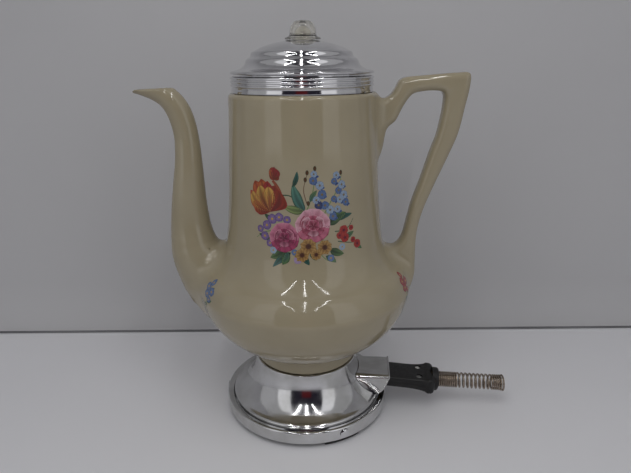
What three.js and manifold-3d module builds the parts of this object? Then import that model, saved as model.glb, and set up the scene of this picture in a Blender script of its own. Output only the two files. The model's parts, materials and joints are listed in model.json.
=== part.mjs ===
// Electric coffee percolator: a glazed china pot on a chromed pedestal, with its percolating works, its heater
// and the detachable appliance plug. Millimetres, +Z up. The origin is on the pot's axis, on the table top.
// +X is the handle and plug side, -X the spout side.
import * as THREE from 'three';
import { mergeVertices } from 'three/addons/utils/BufferGeometryUtils.js';
import Module from 'manifold-3d';

// ---- driving dimensions ----
const FINE = 24; // facets round the large turned pieces
const MEDIUM = 18;
const COARSE = 10;
const GAP = 0.35; // between pieces that touch

const RIM_R = 66.2; // pedestal's lower band
const RIM_BOTTOM = 4;
const RIM_TOP = 13.7;
const SHELL_EDGE_R = 60.8; // outer edge of the flared pedestal shell
const SHELL_TOP = 45.6;
const SHEET = 0.9; // pressed metal

const CHINA_FOOT_Z = 46; // bottom of the china foot ring
const CHINA_REBATE_Z = 252.3; // shoulder that the collar stands on
const CHINA_TOP = 261.6;
const REBATE_R = 47.2;
const MOUTH_R = 44.6;

const COLLAR_TOP = 263.6;
const COLLAR_R = 49.7;
const RIB_R = 50.6;
const LID_RIM_R = 50.4;
const KNOB_TOP = 299.6;
const KNOB_X = 0.9; // the glass sits a little to one side in its hole

const TUBE_R = 4.2;
const TUBE_BORE_R = 3.2;
const BASKET_R = 38;
const BASKET_BOTTOM = 176;
const BASKET_TOP = 236;

const PIN_R = 2.38; // 3/16 inch contact pins
const PIN_SPACING = 12.7; // 1/2 inch apart
const BASE_TURN = -5; // degrees that the pedestal sits round from the line of the handle
const PLUG_DROOP = THREE.MathUtils.degToRad(4.6); // the plug hangs a little on its pins
const GUARD_LIFT = THREE.MathUtils.degToRad(3.2); // and its wire guard bends back towards level
const PLUG_ORIGIN = { x: 69.8, z: 24.8 }; // on the plug's axis, where it leaves the shroud
const PLUG_WIDTH = 24.2;
const PLUG_THICK = 9;

const FOOT_ANGLES = [-64, 56, 176];

// ---- tools ----
const wasm = await Module();
wasm.setup();

function solidOf(geometry) {
  const bare = geometry.index ? geometry.toNonIndexed() : geometry.clone();
  for (const name of Object.keys(bare.attributes)) if (name !== 'position') bare.deleteAttribute(name);
  const merged = mergeVertices(bare, 1e-4);
  const mesh = { numProp: 3, vertProperties: merged.attributes.position.array, triVerts: merged.index.array };
  return new wasm.Manifold(new wasm.Mesh(mesh));
}

function geometryOf(solid) {
  const { vertProperties, triVerts } = solid.getMesh();
  const geometry = new THREE.BufferGeometry();
  geometry.setAttribute('position', new THREE.BufferAttribute(vertProperties, 3));
  geometry.setIndex(new THREE.BufferAttribute(triVerts, 1));
  return geometry;
}

function cut(geometry, ...tools) {
  return geometryOf(tools.reduce((solid, tool) => solid.subtract(solidOf(tool)), solidOf(geometry)));
}

function join(first, ...others) {
  return geometryOf(others.reduce((solid, other) => solid.add(solidOf(other)), solidOf(first)));
}

function keep(geometry, tool) {
  return geometryOf(solidOf(geometry).intersect(solidOf(tool)));
}

// A turned solid about Z. The profile is a list of [radius, z] that starts and ends on the axis, or closes itself.
function turned(profile, facets = MEDIUM) {
  const points = profile.map(([r, z]) => new THREE.Vector2(r, z));
  const onAxis = points[0].x === 0 && points.at(-1).x === 0;
  if (!onAxis) points.push(points[0].clone());
  if (THREE.ShapeUtils.area(points) < 0) points.reverse();
  return new THREE.LatheGeometry(points, facets).rotateX(Math.PI / 2);
}

function ring(inner, outer, bottom, top, facets = MEDIUM) {
  return turned([[inner, bottom], [outer, bottom], [outer, top], [inner, top]], facets);
}

function disc(radius, bottom, top, facets = MEDIUM) {
  return turned([[0, bottom], [radius, bottom], [radius, top], [0, top]], facets);
}

function box(x0, x1, y0, y1, z0, z1) {
  return new THREE.BoxGeometry(x1 - x0, y1 - y0, z1 - z0).translate((x0 + x1) / 2, (y0 + y1) / 2, (z0 + z1) / 2);
}

// A round bar along X.
function barX(radius, x0, x1, y, z, facets = COARSE) {
  return new THREE.CylinderGeometry(radius, radius, x1 - x0, facets).rotateZ(-Math.PI / 2)
    .translate((x0 + x1) / 2, y, z);
}

// A round bar along Z.
function barZ(radius, z0, z1, x, y, facets = COARSE) {
  return new THREE.CylinderGeometry(radius, radius, z1 - z0, facets).rotateX(Math.PI / 2)
    .translate(x, y, (z0 + z1) / 2);
}

// A hexagonal nut about Z.
function nut(radius, boreR, bottom, top) {
  return cut(barZ(radius, bottom, top, 0, 0, 6), barZ(boreR, bottom - 1, top + 1, 0, 0));
}

// Points of a smooth line through the given [r, z] points.
function smooth(points, count) {
  return new THREE.SplineCurve(points.map(([r, z]) => new THREE.Vector2(r, z))).getPoints(count).map((p) => [p.x, p.y]);
}

function arc(r, z, radius, from, to, steps) {
  return Array.from({ length: steps + 1 }, (_, i) => {
    const angle = THREE.MathUtils.degToRad(from + ((to - from) * i) / steps);
    return [r + radius * Math.cos(angle), z + radius * Math.sin(angle)];
  });
}

// A closed skin over a row of rings that each hold the same number of points.
function skin(rings) {
  const sides = rings[0].length;
  const positions = rings.flat().flatMap((p) => [p.x, p.y, p.z]);
  const index = [];
  for (let i = 0; i + 1 < rings.length; i++) {
    for (let k = 0; k < sides; k++) {
      const a = i * sides + k;
      const b = i * sides + ((k + 1) % sides);
      index.push(a, b, b + sides, a, b + sides, a + sides);
    }
  }
  const last = (rings.length - 1) * sides;
  for (let k = 1; k + 1 < sides; k++) {
    index.push(0, k + 1, k);
    index.push(last, last + k, last + k + 1);
  }
  const geometry = new THREE.BufferGeometry();
  geometry.setAttribute('position', new THREE.Float32BufferAttribute(positions, 3));
  geometry.setIndex(index);
  return solidOf(geometry).volume() < 0 ? flipped(geometry) : geometry;
}

function flipped(geometry) {
  const turnedIndex = Array.from(geometry.index.array);
  for (let i = 0; i < turnedIndex.length; i += 3) {
    [turnedIndex[i + 1], turnedIndex[i + 2]] = [turnedIndex[i + 2], turnedIndex[i + 1]];
  }
  return geometry.clone().setIndex(turnedIndex);
}

// A limb in the XZ plane between an outer and an inner edge line. Each section is a superellipse that spans the
// two edges, drawn in by inset, and halfWidth(t) gives its reach along Y.
function limb(outer, inner, steps, sides, halfWidth, squareness, inset = 0) {
  const outerLine = new THREE.SplineCurve(outer.map(([x, z]) => new THREE.Vector2(x, z)));
  const innerLine = new THREE.SplineCurve(inner.map(([x, z]) => new THREE.Vector2(x, z)));
  const rings = [];
  for (let i = 0; i <= steps; i++) {
    const t = i / steps;
    const a = outerLine.getPoint(t);
    const b = innerLine.getPoint(t);
    const centre = a.clone().add(b).multiplyScalar(0.5);
    const half = a.clone().sub(b).multiplyScalar(0.5);
    const across = half.length() - inset;
    half.normalize();
    const section = [];
    for (let k = 0; k < sides; k++) {
      const angle = (2 * Math.PI * k) / sides;
      const c = Math.cos(angle);
      const s = Math.sin(angle);
      const u = Math.sign(c) * Math.abs(c) ** squareness * across;
      const v = Math.sign(s) * Math.abs(s) ** squareness * (halfWidth(t) - inset);
      section.push(new THREE.Vector3(centre.x + half.x * u, v, centre.y + half.y * u));
    }
    rings.push(section);
  }
  return skin(rings);
}

// A round wire of the given radius along a curve.
function wire(curve, radius, steps, sides) {
  const section = new THREE.Shape();
  for (let k = 0; k < sides; k++) {
    const angle = (2 * Math.PI * k) / sides;
    section[k ? 'lineTo' : 'moveTo'](radius * Math.cos(angle), radius * Math.sin(angle));
  }
  section.closePath();
  return new THREE.ExtrudeGeometry(section, { steps, extrudePath: curve, bevelEnabled: false });
}

// A rounded rectangle, as a shape in its own plane.
function roundedRect(width, height, radius) {
  const [w, h] = [width / 2, height / 2];
  const shape = new THREE.Shape();
  shape.absarc(w - radius, h - radius, radius, 0, Math.PI / 2);
  shape.absarc(-w + radius, h - radius, radius, Math.PI / 2, Math.PI);
  shape.absarc(-w + radius, -h + radius, radius, Math.PI, 1.5 * Math.PI);
  shape.absarc(w - radius, -h + radius, radius, 1.5 * Math.PI, 2 * Math.PI);
  return shape;
}

// That shape as a bar along X, with its width along Y.
function roundedBarX(width, height, radius, x0, x1, curveSegments = 3) {
  const bar = new THREE.ExtrudeGeometry(roundedRect(width, height, radius),
    { depth: x1 - x0, bevelEnabled: false, curveSegments });
  return bar.rotateX(Math.PI / 2).rotateZ(Math.PI / 2).translate(x0, 0, 0);
}

// ---- materials ----
const finish = (color, roughness, metalness) => new THREE.MeshStandardMaterial({ color, roughness, metalness });
const materials = {
  china: finish(0xe9e3cc, 0.15, 0),
  chrome: finish(0xc9cbd0, 0.08, 1),
  nickel: finish(0xb9a98f, 0.3, 1),
  steel: finish(0x9a9a98, 0.4, 1),
  aluminium: finish(0xb8babc, 0.35, 1),
  brass: finish(0xb08d4a, 0.3, 1),
  bakelite: finish(0x17130f, 0.3, 0),
  fibre: finish(0x100f0f, 0.8, 0),
  cork: finish(0xa87f4f, 0.9, 0),
  rubber: finish(0x2a2725, 0.8, 0),
  porcelain: finish(0xd8d4c8, 0.5, 0),
  mica: finish(0xa9977a, 0.5, 0),
  glass: new THREE.MeshStandardMaterial({ color: 0xdfe6e2, roughness: 0.05, transparent: true, opacity: 0.35 }),
};

const percolator = new THREE.Group();
function add(name, geometry, material, parent = percolator) {
  const mesh = new THREE.Mesh(geometry, material);
  mesh.name = name;
  parent.add(mesh);
  return mesh;
}

// ---- china body ----
const footRise = [[39.6, CHINA_FOOT_Z], [40.6, 52], [41.6, 57.5]];
const bulb = smooth([[43.5, 59.5], [52, 62.6], [62.5, 70.5], [71.5, 80], [78, 91.5], [81.6, 105], [79.3, 116],
  [74.5, 122.8], [67.2, 128.6]], 9);
const neck = smooth([[65.4, 130], [61.3, 138], [58.6, 150], [57.2, 164], [55.7, 184], [54.3, 210], [53, 235],
  [52.6, 249]], 6);
const chinaOutside = [...footRise, ...bulb, ...neck, [51.6, 251.6], [50.6, CHINA_REBATE_Z],
  [REBATE_R, CHINA_REBATE_Z], [REBATE_R, CHINA_TOP]];
const chinaInside = [[MOUTH_R, CHINA_TOP], [MOUTH_R, 250],
  ...smooth([[48.2, 243], [49.8, 210], [51.4, 184], [53, 164], [54, 148], [56.6, 136], [65.5, 123.5],
    [75.6, 108.5], [75.4, 98], [68, 82.5], [55, 70], [40, 64.4]], 9), [22.9, 64]];
const chinaBelow = [[22.9, 58], [35.5, 58], [35.5, CHINA_FOOT_Z]];

// The outside of the body alone, grown by a little, as the tool that trims what stands on it.
const bodyTool = turned([[0, CHINA_FOOT_Z], ...[...footRise, ...bulb, ...neck].map(([r, z]) => [r + GAP, z]),
  [0, 249]], FINE);

function strainerHoles() {
  const places = [[0, 0], [9, 7], [-9, 7], [9, -7], [-9, -7]];
  return places.map(([y, dz]) => barX(3, -90, -55, y, 104 + dz, 6));
}

add('china_body', cut(turned([...chinaOutside, ...chinaInside, ...chinaBelow], FINE), ...strainerHoles()),
  materials.china);

// ---- spout ----
const spoutOuter = [[-66, 72], [-83.5, 81], [-92.5, 94], [-99.5, 111], [-103.2, 130], [-102.9, 147], [-101, 166],
  [-98.2, 184.5], [-95.1, 203], [-93.9, 217], [-94.6, 227], [-97.4, 237], [-101.6, 243.8], [-107.8, 248],
  [-114.6, 250.8], [-123, 254.6]];
const spoutInner = [[-44, 124], [-58, 137], [-66, 143], [-69.8, 149], [-71.8, 156], [-73, 164.5], [-74, 177],
  [-74.4, 190], [-74.9, 204], [-75.6, 216.5], [-77, 229], [-80, 240.5], [-84.4, 248.8], [-91, 255.5],
  [-99, 260.5], [-109, 264]];
const spoutHalfWidth = (t) => THREE.MathUtils.lerp(24, 7.6, Math.min(1, t / 0.62) ** 0.6) - 1.6 * Math.max(0, t - 0.8);
const SPOUT_WALL = 2.6;

function spout() {
  const body = limb(spoutOuter, spoutInner, 17, 14, spoutHalfWidth, 1);
  const bore = limb(spoutOuter, spoutInner, 13, 10, spoutHalfWidth, 1, SPOUT_WALL);
  const mouthCut = new THREE.BoxGeometry(60, 40, 20).translate(0, 0, 10)
    .rotateY(THREE.MathUtils.degToRad(-3)).translate(-108, 0, 255.4);
  const beyondTip = box(-140, -120.9, -20, 20, 240, 270);
  return cut(body, bore, bodyTool, mouthCut, beyondTip);
}

add('spout', spout(), materials.china);

// ---- handle ----
const handleOuter = [[46, 247.5], [56, 246.8], [62.3, 250], [65.9, 254.8], [68.6, 259.8], [73.5, 262], [85, 263],
  [98, 264], [109, 264.7], [117.4, 264.2], [118, 255], [115.7, 241.5], [112.2, 223], [105.8, 205.8], [97.8, 186.5],
  [90.6, 167.8], [86.9, 153.5], [85.6, 140], [85.6, 126], [84.6, 113], [76, 102]];
const handleInner = [[46, 206], [55.6, 211], [60.2, 226], [66.5, 232.2], [71.6, 242.2], [77.4, 250], [84.5, 252.1],
  [91.5, 252.6], [97, 252.3], [100, 250.6], [100.7, 246], [100, 237.5], [97.2, 222], [92.8, 208.8], [87, 189],
  [81, 170.5], [77.6, 155], [74.8, 144], [70, 137.5], [60, 133], [50, 120]];
const handleHalfWidth = (t) => 8.2 - 1.2 * Math.min(1, t / 0.6) + 2.5 * Math.max(0, t - 0.85) / 0.15;

add('handle', cut(limb(handleOuter, handleInner, 28, 10, handleHalfWidth, 0.7), bodyTool), materials.china);

// ---- collar and lid ----
function collar() {
  const ribs = [257.4, 259.8, 262.3].flatMap((z) => arc(RIB_R - 1.1, z, 1.1, -50, 50, 1));
  return turned([[48.5, 252.7], [COLLAR_R, 252.7], [COLLAR_R, 256], ...ribs, [48.8, COLLAR_TOP],
    [44.5, COLLAR_TOP], [44.5, COLLAR_TOP - SHEET], [48.5, COLLAR_TOP - SHEET]], FINE);
}

add('neck_collar', collar(), materials.chrome);
add('collar_cork_ring', ring(REBATE_R + GAP, 48.2, CHINA_REBATE_Z + 0.4, CHINA_TOP - 0.4, FINE), materials.cork);

const lidTop = [[8.2, 286.7], ...smooth([[13, 286.3], [21, 284.6], [28, 282.4], [32.6, 280.3]], 4), [34.7, 278.3],
  [36.3, 276], [38.8, 274], [40.6, 271.4], [42.2, 269], [45, 267.6], [LID_RIM_R, 266.5], [LID_RIM_R, 264.5]];
const lidUnder = [[49.4, 264.5], [49.4, 265.5], [44.6, 266.6], [41.4, 268.3], [37.9, 273.2], [33.8, 277.5],
  [27.6, 281.4], [8.2, 285.8]];
const KNOB_SLOT = { long: 21.5, wide: 8.5 };
const knobSlot = (z0, z1) => box(KNOB_X - KNOB_SLOT.wide / 2, KNOB_X + KNOB_SLOT.wide / 2, -KNOB_SLOT.long / 2,
  KNOB_SLOT.long / 2, z0, z1);

add('lid_cover', cut(turned([...lidTop, ...lidUnder], FINE), knobSlot(283, 289)), materials.chrome);
add('lid_skirt', ring(43.1, 44, 256.5, 264.9, 28), materials.chrome);

// The glass knob hangs through the lid and is held by two lugs below the clip ring.
const knobGroup = new THREE.Group();
knobGroup.position.x = KNOB_X;
percolator.add(knobGroup);
function glassKnob() {
  const dome = turned([[6.9, 278], [6.9, 287.2], [12.4, 287.1], [12.6, 287.9], [9.4, 289], [8.8, 290.4], [9, 293.6],
    ...arc(3.9, 294.5, 5.1, 0, 90, 5), [0, KNOB_TOP], [0, 296.4], ...arc(2.7, 292.9, 3.5, 90, 0, 3), [5.6, 289],
    [5.2, 278]], 16);
  const lugs = keep(ring(6.6, 10.1, 280, 281.6, 20), box(-11, 11, -3.2, 3.2, 279, 283));
  return join(dome, lugs);
}
add('glass_knob', glassKnob(), materials.glass, knobGroup);
// The ring is brazed to the lid's underside, round the hole.
const clipRing = turned([[7.8, 282.2], [13.2, 282.2], [13.2, 283.9], [12.4, 283.9], [12.4, 283], [7.8, 283]], 24);
add('knob_clip_ring', cut(clipRing.translate(KNOB_X, 0, 0), knobSlot(281, 286)), materials.steel);

// ---- percolating works ----
add('percolator_tube', ring(TUBE_BORE_R, TUBE_R, 63.5, 268, COARSE), materials.aluminium);
add('pump_bell', turned([[19, 57], [19.6, 57], [19.6, 58.4], [9.6, 70.5], [6.2, 76], [6.2, 80], [TUBE_R + GAP, 80],
  [TUBE_R + GAP, 75.4], [8.6, 69.8], [18.6, 57.8]], 20), materials.aluminium);
add('pump_seat_plate', turned([[4, 55.7], [18.2, 55.7], [18.2, 57.2], [17.2, 57.2], [17.2, 56.7], [4, 56.7]]),
  materials.aluminium);
add('pump_valve_disc', disc(8, 57.05, 57.95, 20), materials.steel);
add('basket_stop', ring(TUBE_R + 0.3, 7.6, 172.2, BASKET_BOTTOM - GAP, COARSE), materials.aluminium);

// Round holes on circles about the axis.
function holeCircle(radius, count, holeR, z0, z1) {
  return Array.from({ length: count }, (_, i) => {
    const angle = (2 * Math.PI * (i + 0.5)) / count;
    return barZ(holeR, z0, z1, radius * Math.cos(angle), radius * Math.sin(angle), 5);
  });
}

const basketProfile = [[5.1, BASKET_BOTTOM], [BASKET_R - 3, BASKET_BOTTOM], [BASKET_R, BASKET_BOTTOM + 3],
  [BASKET_R, BASKET_TOP - 2], [BASKET_R + 1.6, BASKET_TOP - 1], [BASKET_R + 1.2, BASKET_TOP],
  [BASKET_R - SHEET, BASKET_TOP - 1], [BASKET_R - SHEET, BASKET_BOTTOM + 3.4], [BASKET_R - 3.4, BASKET_BOTTOM + SHEET],
  [6.4, BASKET_BOTTOM + SHEET], [6.4, 190], [5.1, 190]];
add('coffee_basket', cut(turned(basketProfile, MEDIUM), ...holeCircle(16, 4, 2, 170, 180),
  ...holeCircle(28, 8, 2, 170, 180)), materials.aluminium);
const spreaderProfile = [[5.1, 231], [35.4, 231], [36.2, 236.4], [39.6, 236.4], [39.6, 237.4], [35.3, 237.4],
  [34.6, 232], [7, 232], [6.2, 238], [5.1, 238]];
add('water_spreader', cut(turned(spreaderProfile, MEDIUM), ...holeCircle(14, 4, 1.8, 228, 233),
  ...holeCircle(26, 8, 1.8, 228, 233)), materials.aluminium);

// ---- heater, clamped through the china floor ----
add('heater_cup', turned([[0, 53.8], [20, 53.8], [20, 40], [22, 40], [22, 66], [31, 66], [31, 67.2], [20.8, 67.2],
  [20.8, 55.2], [0, 55.2]], MEDIUM), materials.nickel);
add('inner_gasket', ring(22.9, 30.4, 64.35, 65.65), materials.rubber);
add('outer_gasket', ring(22.9, 32.6, 55.4, 57.65), materials.rubber);
add('clamp_nut', cut(ring(22.35, 34, 50.4, 55.05, 24), box(32, 36, -3, 3, 49, 53), box(-36, -32, -3, 3, 49, 53)),
  materials.brass);
add('mica_washer', ring(22.6, 35, 47.2, 48, 24), materials.mica);
add('element_core', turned([[23, 33.4], [34, 33.4], [34, 35], [30.4, 35.6], [30.4, 44.2], [34, 44.8], [34, 46.6],
  [23, 46.6]], 24), materials.porcelain);

class Helix extends THREE.Curve {
  constructor(radiusAt, alongAt, turns, place) {
    super();
    Object.assign(this, { radiusAt, alongAt, turns, place });
  }

  getPoint(t) {
    const angle = 2 * Math.PI * this.turns * t;
    const r = this.radiusAt(t);
    return this.place(r * Math.cos(angle), r * Math.sin(angle), this.alongAt(t));
  }
}

const COIL = { turns: 4, r: 32.4, bottom: 36.8, top: 43, wireR: 0.6 };
add('element_coil', wire(new Helix(() => COIL.r, (t) => THREE.MathUtils.lerp(COIL.bottom, COIL.top, t), COIL.turns,
  (x, y, z) => new THREE.Vector3(x, y, z)), COIL.wireR, COIL.turns * 12, 4), materials.steel);
add('element_support_plate', ring(3.5, 31, 31.8, 33), materials.steel);
add('tie_rod', disc(3, 1.6, 53.4, COARSE), materials.steel);
add('support_nut', nut(6, 3.5, 28.4, 31.4), materials.brass);

// ---- pedestal ----
const flare = smooth([[SHELL_EDGE_R - 0.9, 15.7], [56.6, 17], [51.6, 20.2], [47.2, 25], [44.2, 30.5], [42.2, 36.5],
  [41.1, 42], [40.9, SHELL_TOP - 1]], 6);
const flareUnder = flare.map(([r, z]) => [r - SHEET, z - 0.35]).reverse();
const shellOutside = [[SHELL_EDGE_R, 11.5], [SHELL_EDGE_R, 15], ...flare, [40.3, SHELL_TOP]];
const flareTool = turned([[0, 10], ...[[SHELL_EDGE_R, 10], ...shellOutside].map(([r, z]) => [r + GAP, z]),
  [0, SHELL_TOP]], FINE);
const atAngle = (geometry, deg) => geometry.rotateZ(THREE.MathUtils.degToRad(deg));
const shellWindow = atAngle(box(40, 60, -10.6, 10.6, 21, 31), BASE_TURN); // the pins come out here

add('base_shell', cut(turned([[SHELL_EDGE_R - SHEET, 11.5], ...shellOutside, [36, SHELL_TOP],
  [36, SHELL_TOP - SHEET], ...flareUnder.slice(1), [SHELL_EDGE_R - SHEET, 14.6]], FINE), shellWindow),
materials.chrome);

const rimProfile = [[RIM_R - SHEET, RIM_BOTTOM], [RIM_R, RIM_BOTTOM], [RIM_R, RIM_TOP - 1.1],
  ...arc(RIM_R - 1.1, RIM_TOP - 1.1, 1.1, 30, 90, 2), [SHELL_EDGE_R + 0.5, RIM_TOP - 0.7],
  [SHELL_EDGE_R + 0.5, RIM_TOP - 1.7], [RIM_R - SHEET - 0.6, RIM_TOP - 1.3], [RIM_R - SHEET, RIM_TOP - 2]];
const RIVET = { z: 8.6, holeR: 2, headR: 3.6, shankR: 1.7 };
const rivetHoles = (from, to) => FOOT_ANGLES.map((deg) => atAngle(barX(RIVET.holeR, from, to, 0, RIVET.z, 10), deg));

add('base_rim_band', cut(turned(rimProfile, FINE), ...rivetHoles(60, 70)), materials.chrome);
add('bottom_plate', cut(turned([[3.5, 7.6], [56, 7.6], [56, 9.6], [59.6, 9.6], [59.6, 10.5], [55.1, 10.5],
  [55.1, 8.5], [3.5, 8.5]], MEDIUM), ...FOOT_ANGLES.map((deg) => atAngle(box(50, 66, -17, 17, 6, 12), deg))),
materials.steel);
add('tie_nut', nut(6.4, 3.5, 3.6, 7.2), materials.brass);

// Each foot is a block of vulcanised fibre curved to the band, riveted to it from outside.
function foot(deg) {
  const block = keep(ring(53.5, RIM_R - SHEET - 1.2, 0, 11, 48), box(50, 70, -13.5, 13.5, -1, 13));
  return atAngle(cut(block, barX(RIVET.holeR, 50, 70, 0, RIVET.z, 10)), deg);
}

function rivet(deg) {
  const head = new THREE.CylinderGeometry(RIVET.headR - 0.5, RIVET.headR, 0.6, 14).rotateZ(-Math.PI / 2)
    .translate(RIM_R + 0.7, 0, RIVET.z);
  return atAngle(join(barX(RIVET.shankR, 52, RIM_R + 0.6, 0, RIVET.z, 10), head), deg);
}

FOOT_ANGLES.forEach((deg, i) => {
  add(`foot_${i + 1}`, foot(deg), materials.fibre);
  add(`foot_rivet_${i + 1}`, rivet(deg), materials.chrome);
});

// ---- everything below is turned with the pedestal ----
const connection = new THREE.Group();
connection.rotation.z = THREE.MathUtils.degToRad(BASE_TURN);
percolator.add(connection);

// ---- terminal shroud: a pressed hood over the contact pins, open below and at its outer end ----
const SHROUD = { top: 32.3, width: 32, depth: 24, cornerR: 3, end: 68.4, lip: 1.2, lipTop: 26 };
// The open end, from its tip on the pedestal's edge up to the lip.
const shroudEnd = [[60.2, 16.5], [61.8, 17.5], [63.8, 20], [65.7, 23.4], [67.1, 27.2], [67.6, 29]];
function shroud() {
  const z = SHROUD.top - SHROUD.depth / 2;
  const hood = roundedBarX(SHROUD.width, SHROUD.depth, SHROUD.cornerR, 36, SHROUD.end).translate(0, 0, z);
  const lip = cut(roundedBarX(SHROUD.width + 2 * SHROUD.lip, SHROUD.depth + 2 * SHROUD.lip,
    SHROUD.cornerR + SHROUD.lip, SHROUD.end - SHEET, SHROUD.end).translate(0, 0, z), box(60, 75, -20, 20, 0, 29));
  const hollow = roundedBarX(SHROUD.width - 2, SHROUD.depth, SHROUD.cornerR - 1, 30, 75).translate(0, 0, z - 1);
  const outside = [[60.2, 0], [80, 0], [80, 29], ...shroudEnd.toReversed()].map(([x, h]) => new THREE.Vector2(x, h));
  const slope = new THREE.ExtrudeGeometry(new THREE.Shape(outside), { depth: 40, bevelEnabled: false })
    .rotateX(Math.PI / 2).translate(0, 20, 0);
  const below = box(30, 80, -20, 20, 0, shroudEnd[0][1]);
  return cut(join(hood, lip), hollow, below, slope, atAngle(flareTool.clone(), -BASE_TURN));
}
add('terminal_shroud', shroud(), materials.chrome, connection);

// ---- everything on the plug's axis hangs with it ----
const plugAxis = new THREE.Group();
plugAxis.position.set(PLUG_ORIGIN.x, 0, PLUG_ORIGIN.z);
plugAxis.rotation.y = PLUG_DROOP;
connection.add(plugAxis);
const SIDES = [['left', PIN_SPACING / 2], ['right', -PIN_SPACING / 2]];

add('terminal_block', cut(roundedBarX(23, 10, 2, -35.3, -30.3),
  ...SIDES.map(([, y]) => barX(PIN_R + GAP, -40, -20, y, 0))), materials.porcelain, plugAxis);
SIDES.forEach(([side, y]) => {
  const pin = join(barX(PIN_R, -40.5, -3.2, y, 0), new THREE.SphereGeometry(PIN_R, 16, 6).rotateZ(-Math.PI / 2)
    .translate(-3.2, y, 0));
  add(`terminal_pin_${side}`, pin, materials.brass, plugAxis);
  add(`terminal_nut_${side}`, cut(barX(3.6, -38.6, -35.8, y, 0, 6), barX(PIN_R + GAP, -45, -30, y, 0)),
    materials.brass, plugAxis);
});

// Lead wires from the element to the pins, inside the pedestal.
SIDES.forEach(([side, y]) => {
  const towards = Math.sign(y);
  const route = new THREE.CatmullRomCurve3([[35.4, 13.5 * towards, 38.6], [36, 14.6 * towards, 32],
    [30, 15 * towards, 27.5], [25, 11.5 * towards, 26.6], [27.2, y, 27.8]].map((p) => new THREE.Vector3(...p)));
  add(`lead_wire_${side}`, wire(route, 0.8, 12, 6), materials.nickel, connection);
});

// ---- plug: two bakelite halves, with spring contacts, two screws and the wire guard ----
const PLUG = { nose: -10.8, waist: 19, rear: 30, flange: 35.3, end: 39.3, flangeWidth: 29, flangeThick: 12.8,
  hubR: 9.2, channelR: 3.7, cavityEnd: 9 };
const PLUG_SCREWS = [['left', 6.8], ['right', -6.8]];
const PLUG_SCREW_X = 23;
const plugSolid = () => {
  const nose = roundedBarX(PLUG_WIDTH, PLUG_THICK, 1.6, PLUG.nose, PLUG.waist, 2);
  const rings = [[PLUG.waist - 12, PLUG_WIDTH, PLUG_THICK], [PLUG.waist + 3, 25, 9.8],
    [PLUG.rear + 0.5, 27, 11.4]].map(([x, w, h]) => roundedRect(w, h, 2.2).getPoints(2).slice(0, -1)
    .map((p) => new THREE.Vector3(x, p.x, p.y)));
  const flange = roundedBarX(PLUG.flangeWidth, PLUG.flangeThick, 2.6, PLUG.rear, PLUG.flange, 2);
  const hub = barX(PLUG.hubR, PLUG.flange - 2, PLUG.end, 0, 0, COARSE * 2);
  return join(nose, skin(rings), flange, hub);
};
const plugHollows = () => [
  ...SIDES.map(([, y]) => barX(PLUG.channelR, PLUG.nose - 5, PLUG.cavityEnd, y, 0, 12)),
  box(PLUG.cavityEnd - 1, 19.6, -8.7, 8.7, -3.4, 3.4), // wiring chamber
  barX(4, 18, 34, 0, 0, 12), // cord way
  barX(7, 32.6, 50, 0, 0, 16), // seat of the wire guard
  ...PLUG_SCREWS.map(([, y]) => barZ(1.75, -12, 12, PLUG_SCREW_X, y, 10)),
  ...PLUG_SCREWS.map(([, y]) => barZ(2.6, 3.5, 12, PLUG_SCREW_X, y, 12)), // screw head pockets
  ...PLUG_SCREWS.map(([, y]) => barZ(2.8, -12, -3.4, PLUG_SCREW_X, y, 12)), // nut pockets
];
const plugBody = cut(plugSolid(), ...plugHollows());
add('plug_upper_half', cut(plugBody, box(-30, 60, -20, 20, -20, 0.15)), materials.bakelite, plugAxis);
add('plug_lower_half', cut(plugBody, box(-30, 60, -20, 20, -0.15, 20)), materials.bakelite, plugAxis);

SIDES.forEach(([side, y]) => {
  const sleeve = cut(barX(3.35, PLUG.nose + 1, 6, y, 0, 12), barX(PIN_R + 0.25, PLUG.nose - 5, 8, y, 0, 12),
    box(-20, 10, y - 0.5, y + 0.5, 0, 5));
  const tag = box(3, 17, y - 1.6, y + 1.6, -3.05, -2.1);
  add(`contact_${side}`, join(sleeve, tag), materials.brass, plugAxis);
  add(`contact_screw_${side}`, barZ(1.9, -1.75, 0.2, 14, y, 10), materials.brass, plugAxis);
});
PLUG_SCREWS.forEach(([side, y]) => {
  add(`plug_screw_${side}`, join(barZ(1.4, -4.8, 4, PLUG_SCREW_X, y, 10), barZ(2.3, 3.85, 4.9, PLUG_SCREW_X, y, 12)),
    materials.steel, plugAxis);
  add(`plug_nut_${side}`, cut(barZ(2.5, -4.9, -3.75, PLUG_SCREW_X, y, 6), barZ(1.75, -10, 0, PLUG_SCREW_X, y, 10)),
    materials.steel, plugAxis);
});

// The wire guard: close turns in the plug, open turns along the cord, close turns that widen at the end.
const GUARD = { wireR: 0.75, r: 5.6, flareR: 6.2, start: 34.2, close: 12, open: 8.5, last: 5.5 };
const GUARD_PITCH = { close: 1.74, open: 3.3 };
function guardSpring() {
  const turns = GUARD.close + GUARD.open + GUARD.last;
  const along = (t) => {
    const n = t * turns;
    const closeTurns = Math.min(n, GUARD.close) + Math.max(0, n - GUARD.close - GUARD.open);
    const openTurns = THREE.MathUtils.clamp(n - GUARD.close, 0, GUARD.open);
    return GUARD.start + closeTurns * GUARD_PITCH.close + openTurns * GUARD_PITCH.open;
  };
  const radius = (t) => THREE.MathUtils.lerp(GUARD.r, GUARD.flareR, Math.max(0, (t * turns - turns + 2) / 2));
  const lift = (y, z, x) => new THREE.Vector3(x - GUARD.start, y, z)
    .applyAxisAngle(new THREE.Vector3(0, 1, 0), -GUARD_LIFT).add(new THREE.Vector3(GUARD.start, 0, 0));
  return wire(new Helix(radius, along, turns, lift), GUARD.wireR, turns * 8, 4);
}
add('cord_guard_spring', guardSpring(), materials.nickel, plugAxis);

export default percolator;
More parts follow.
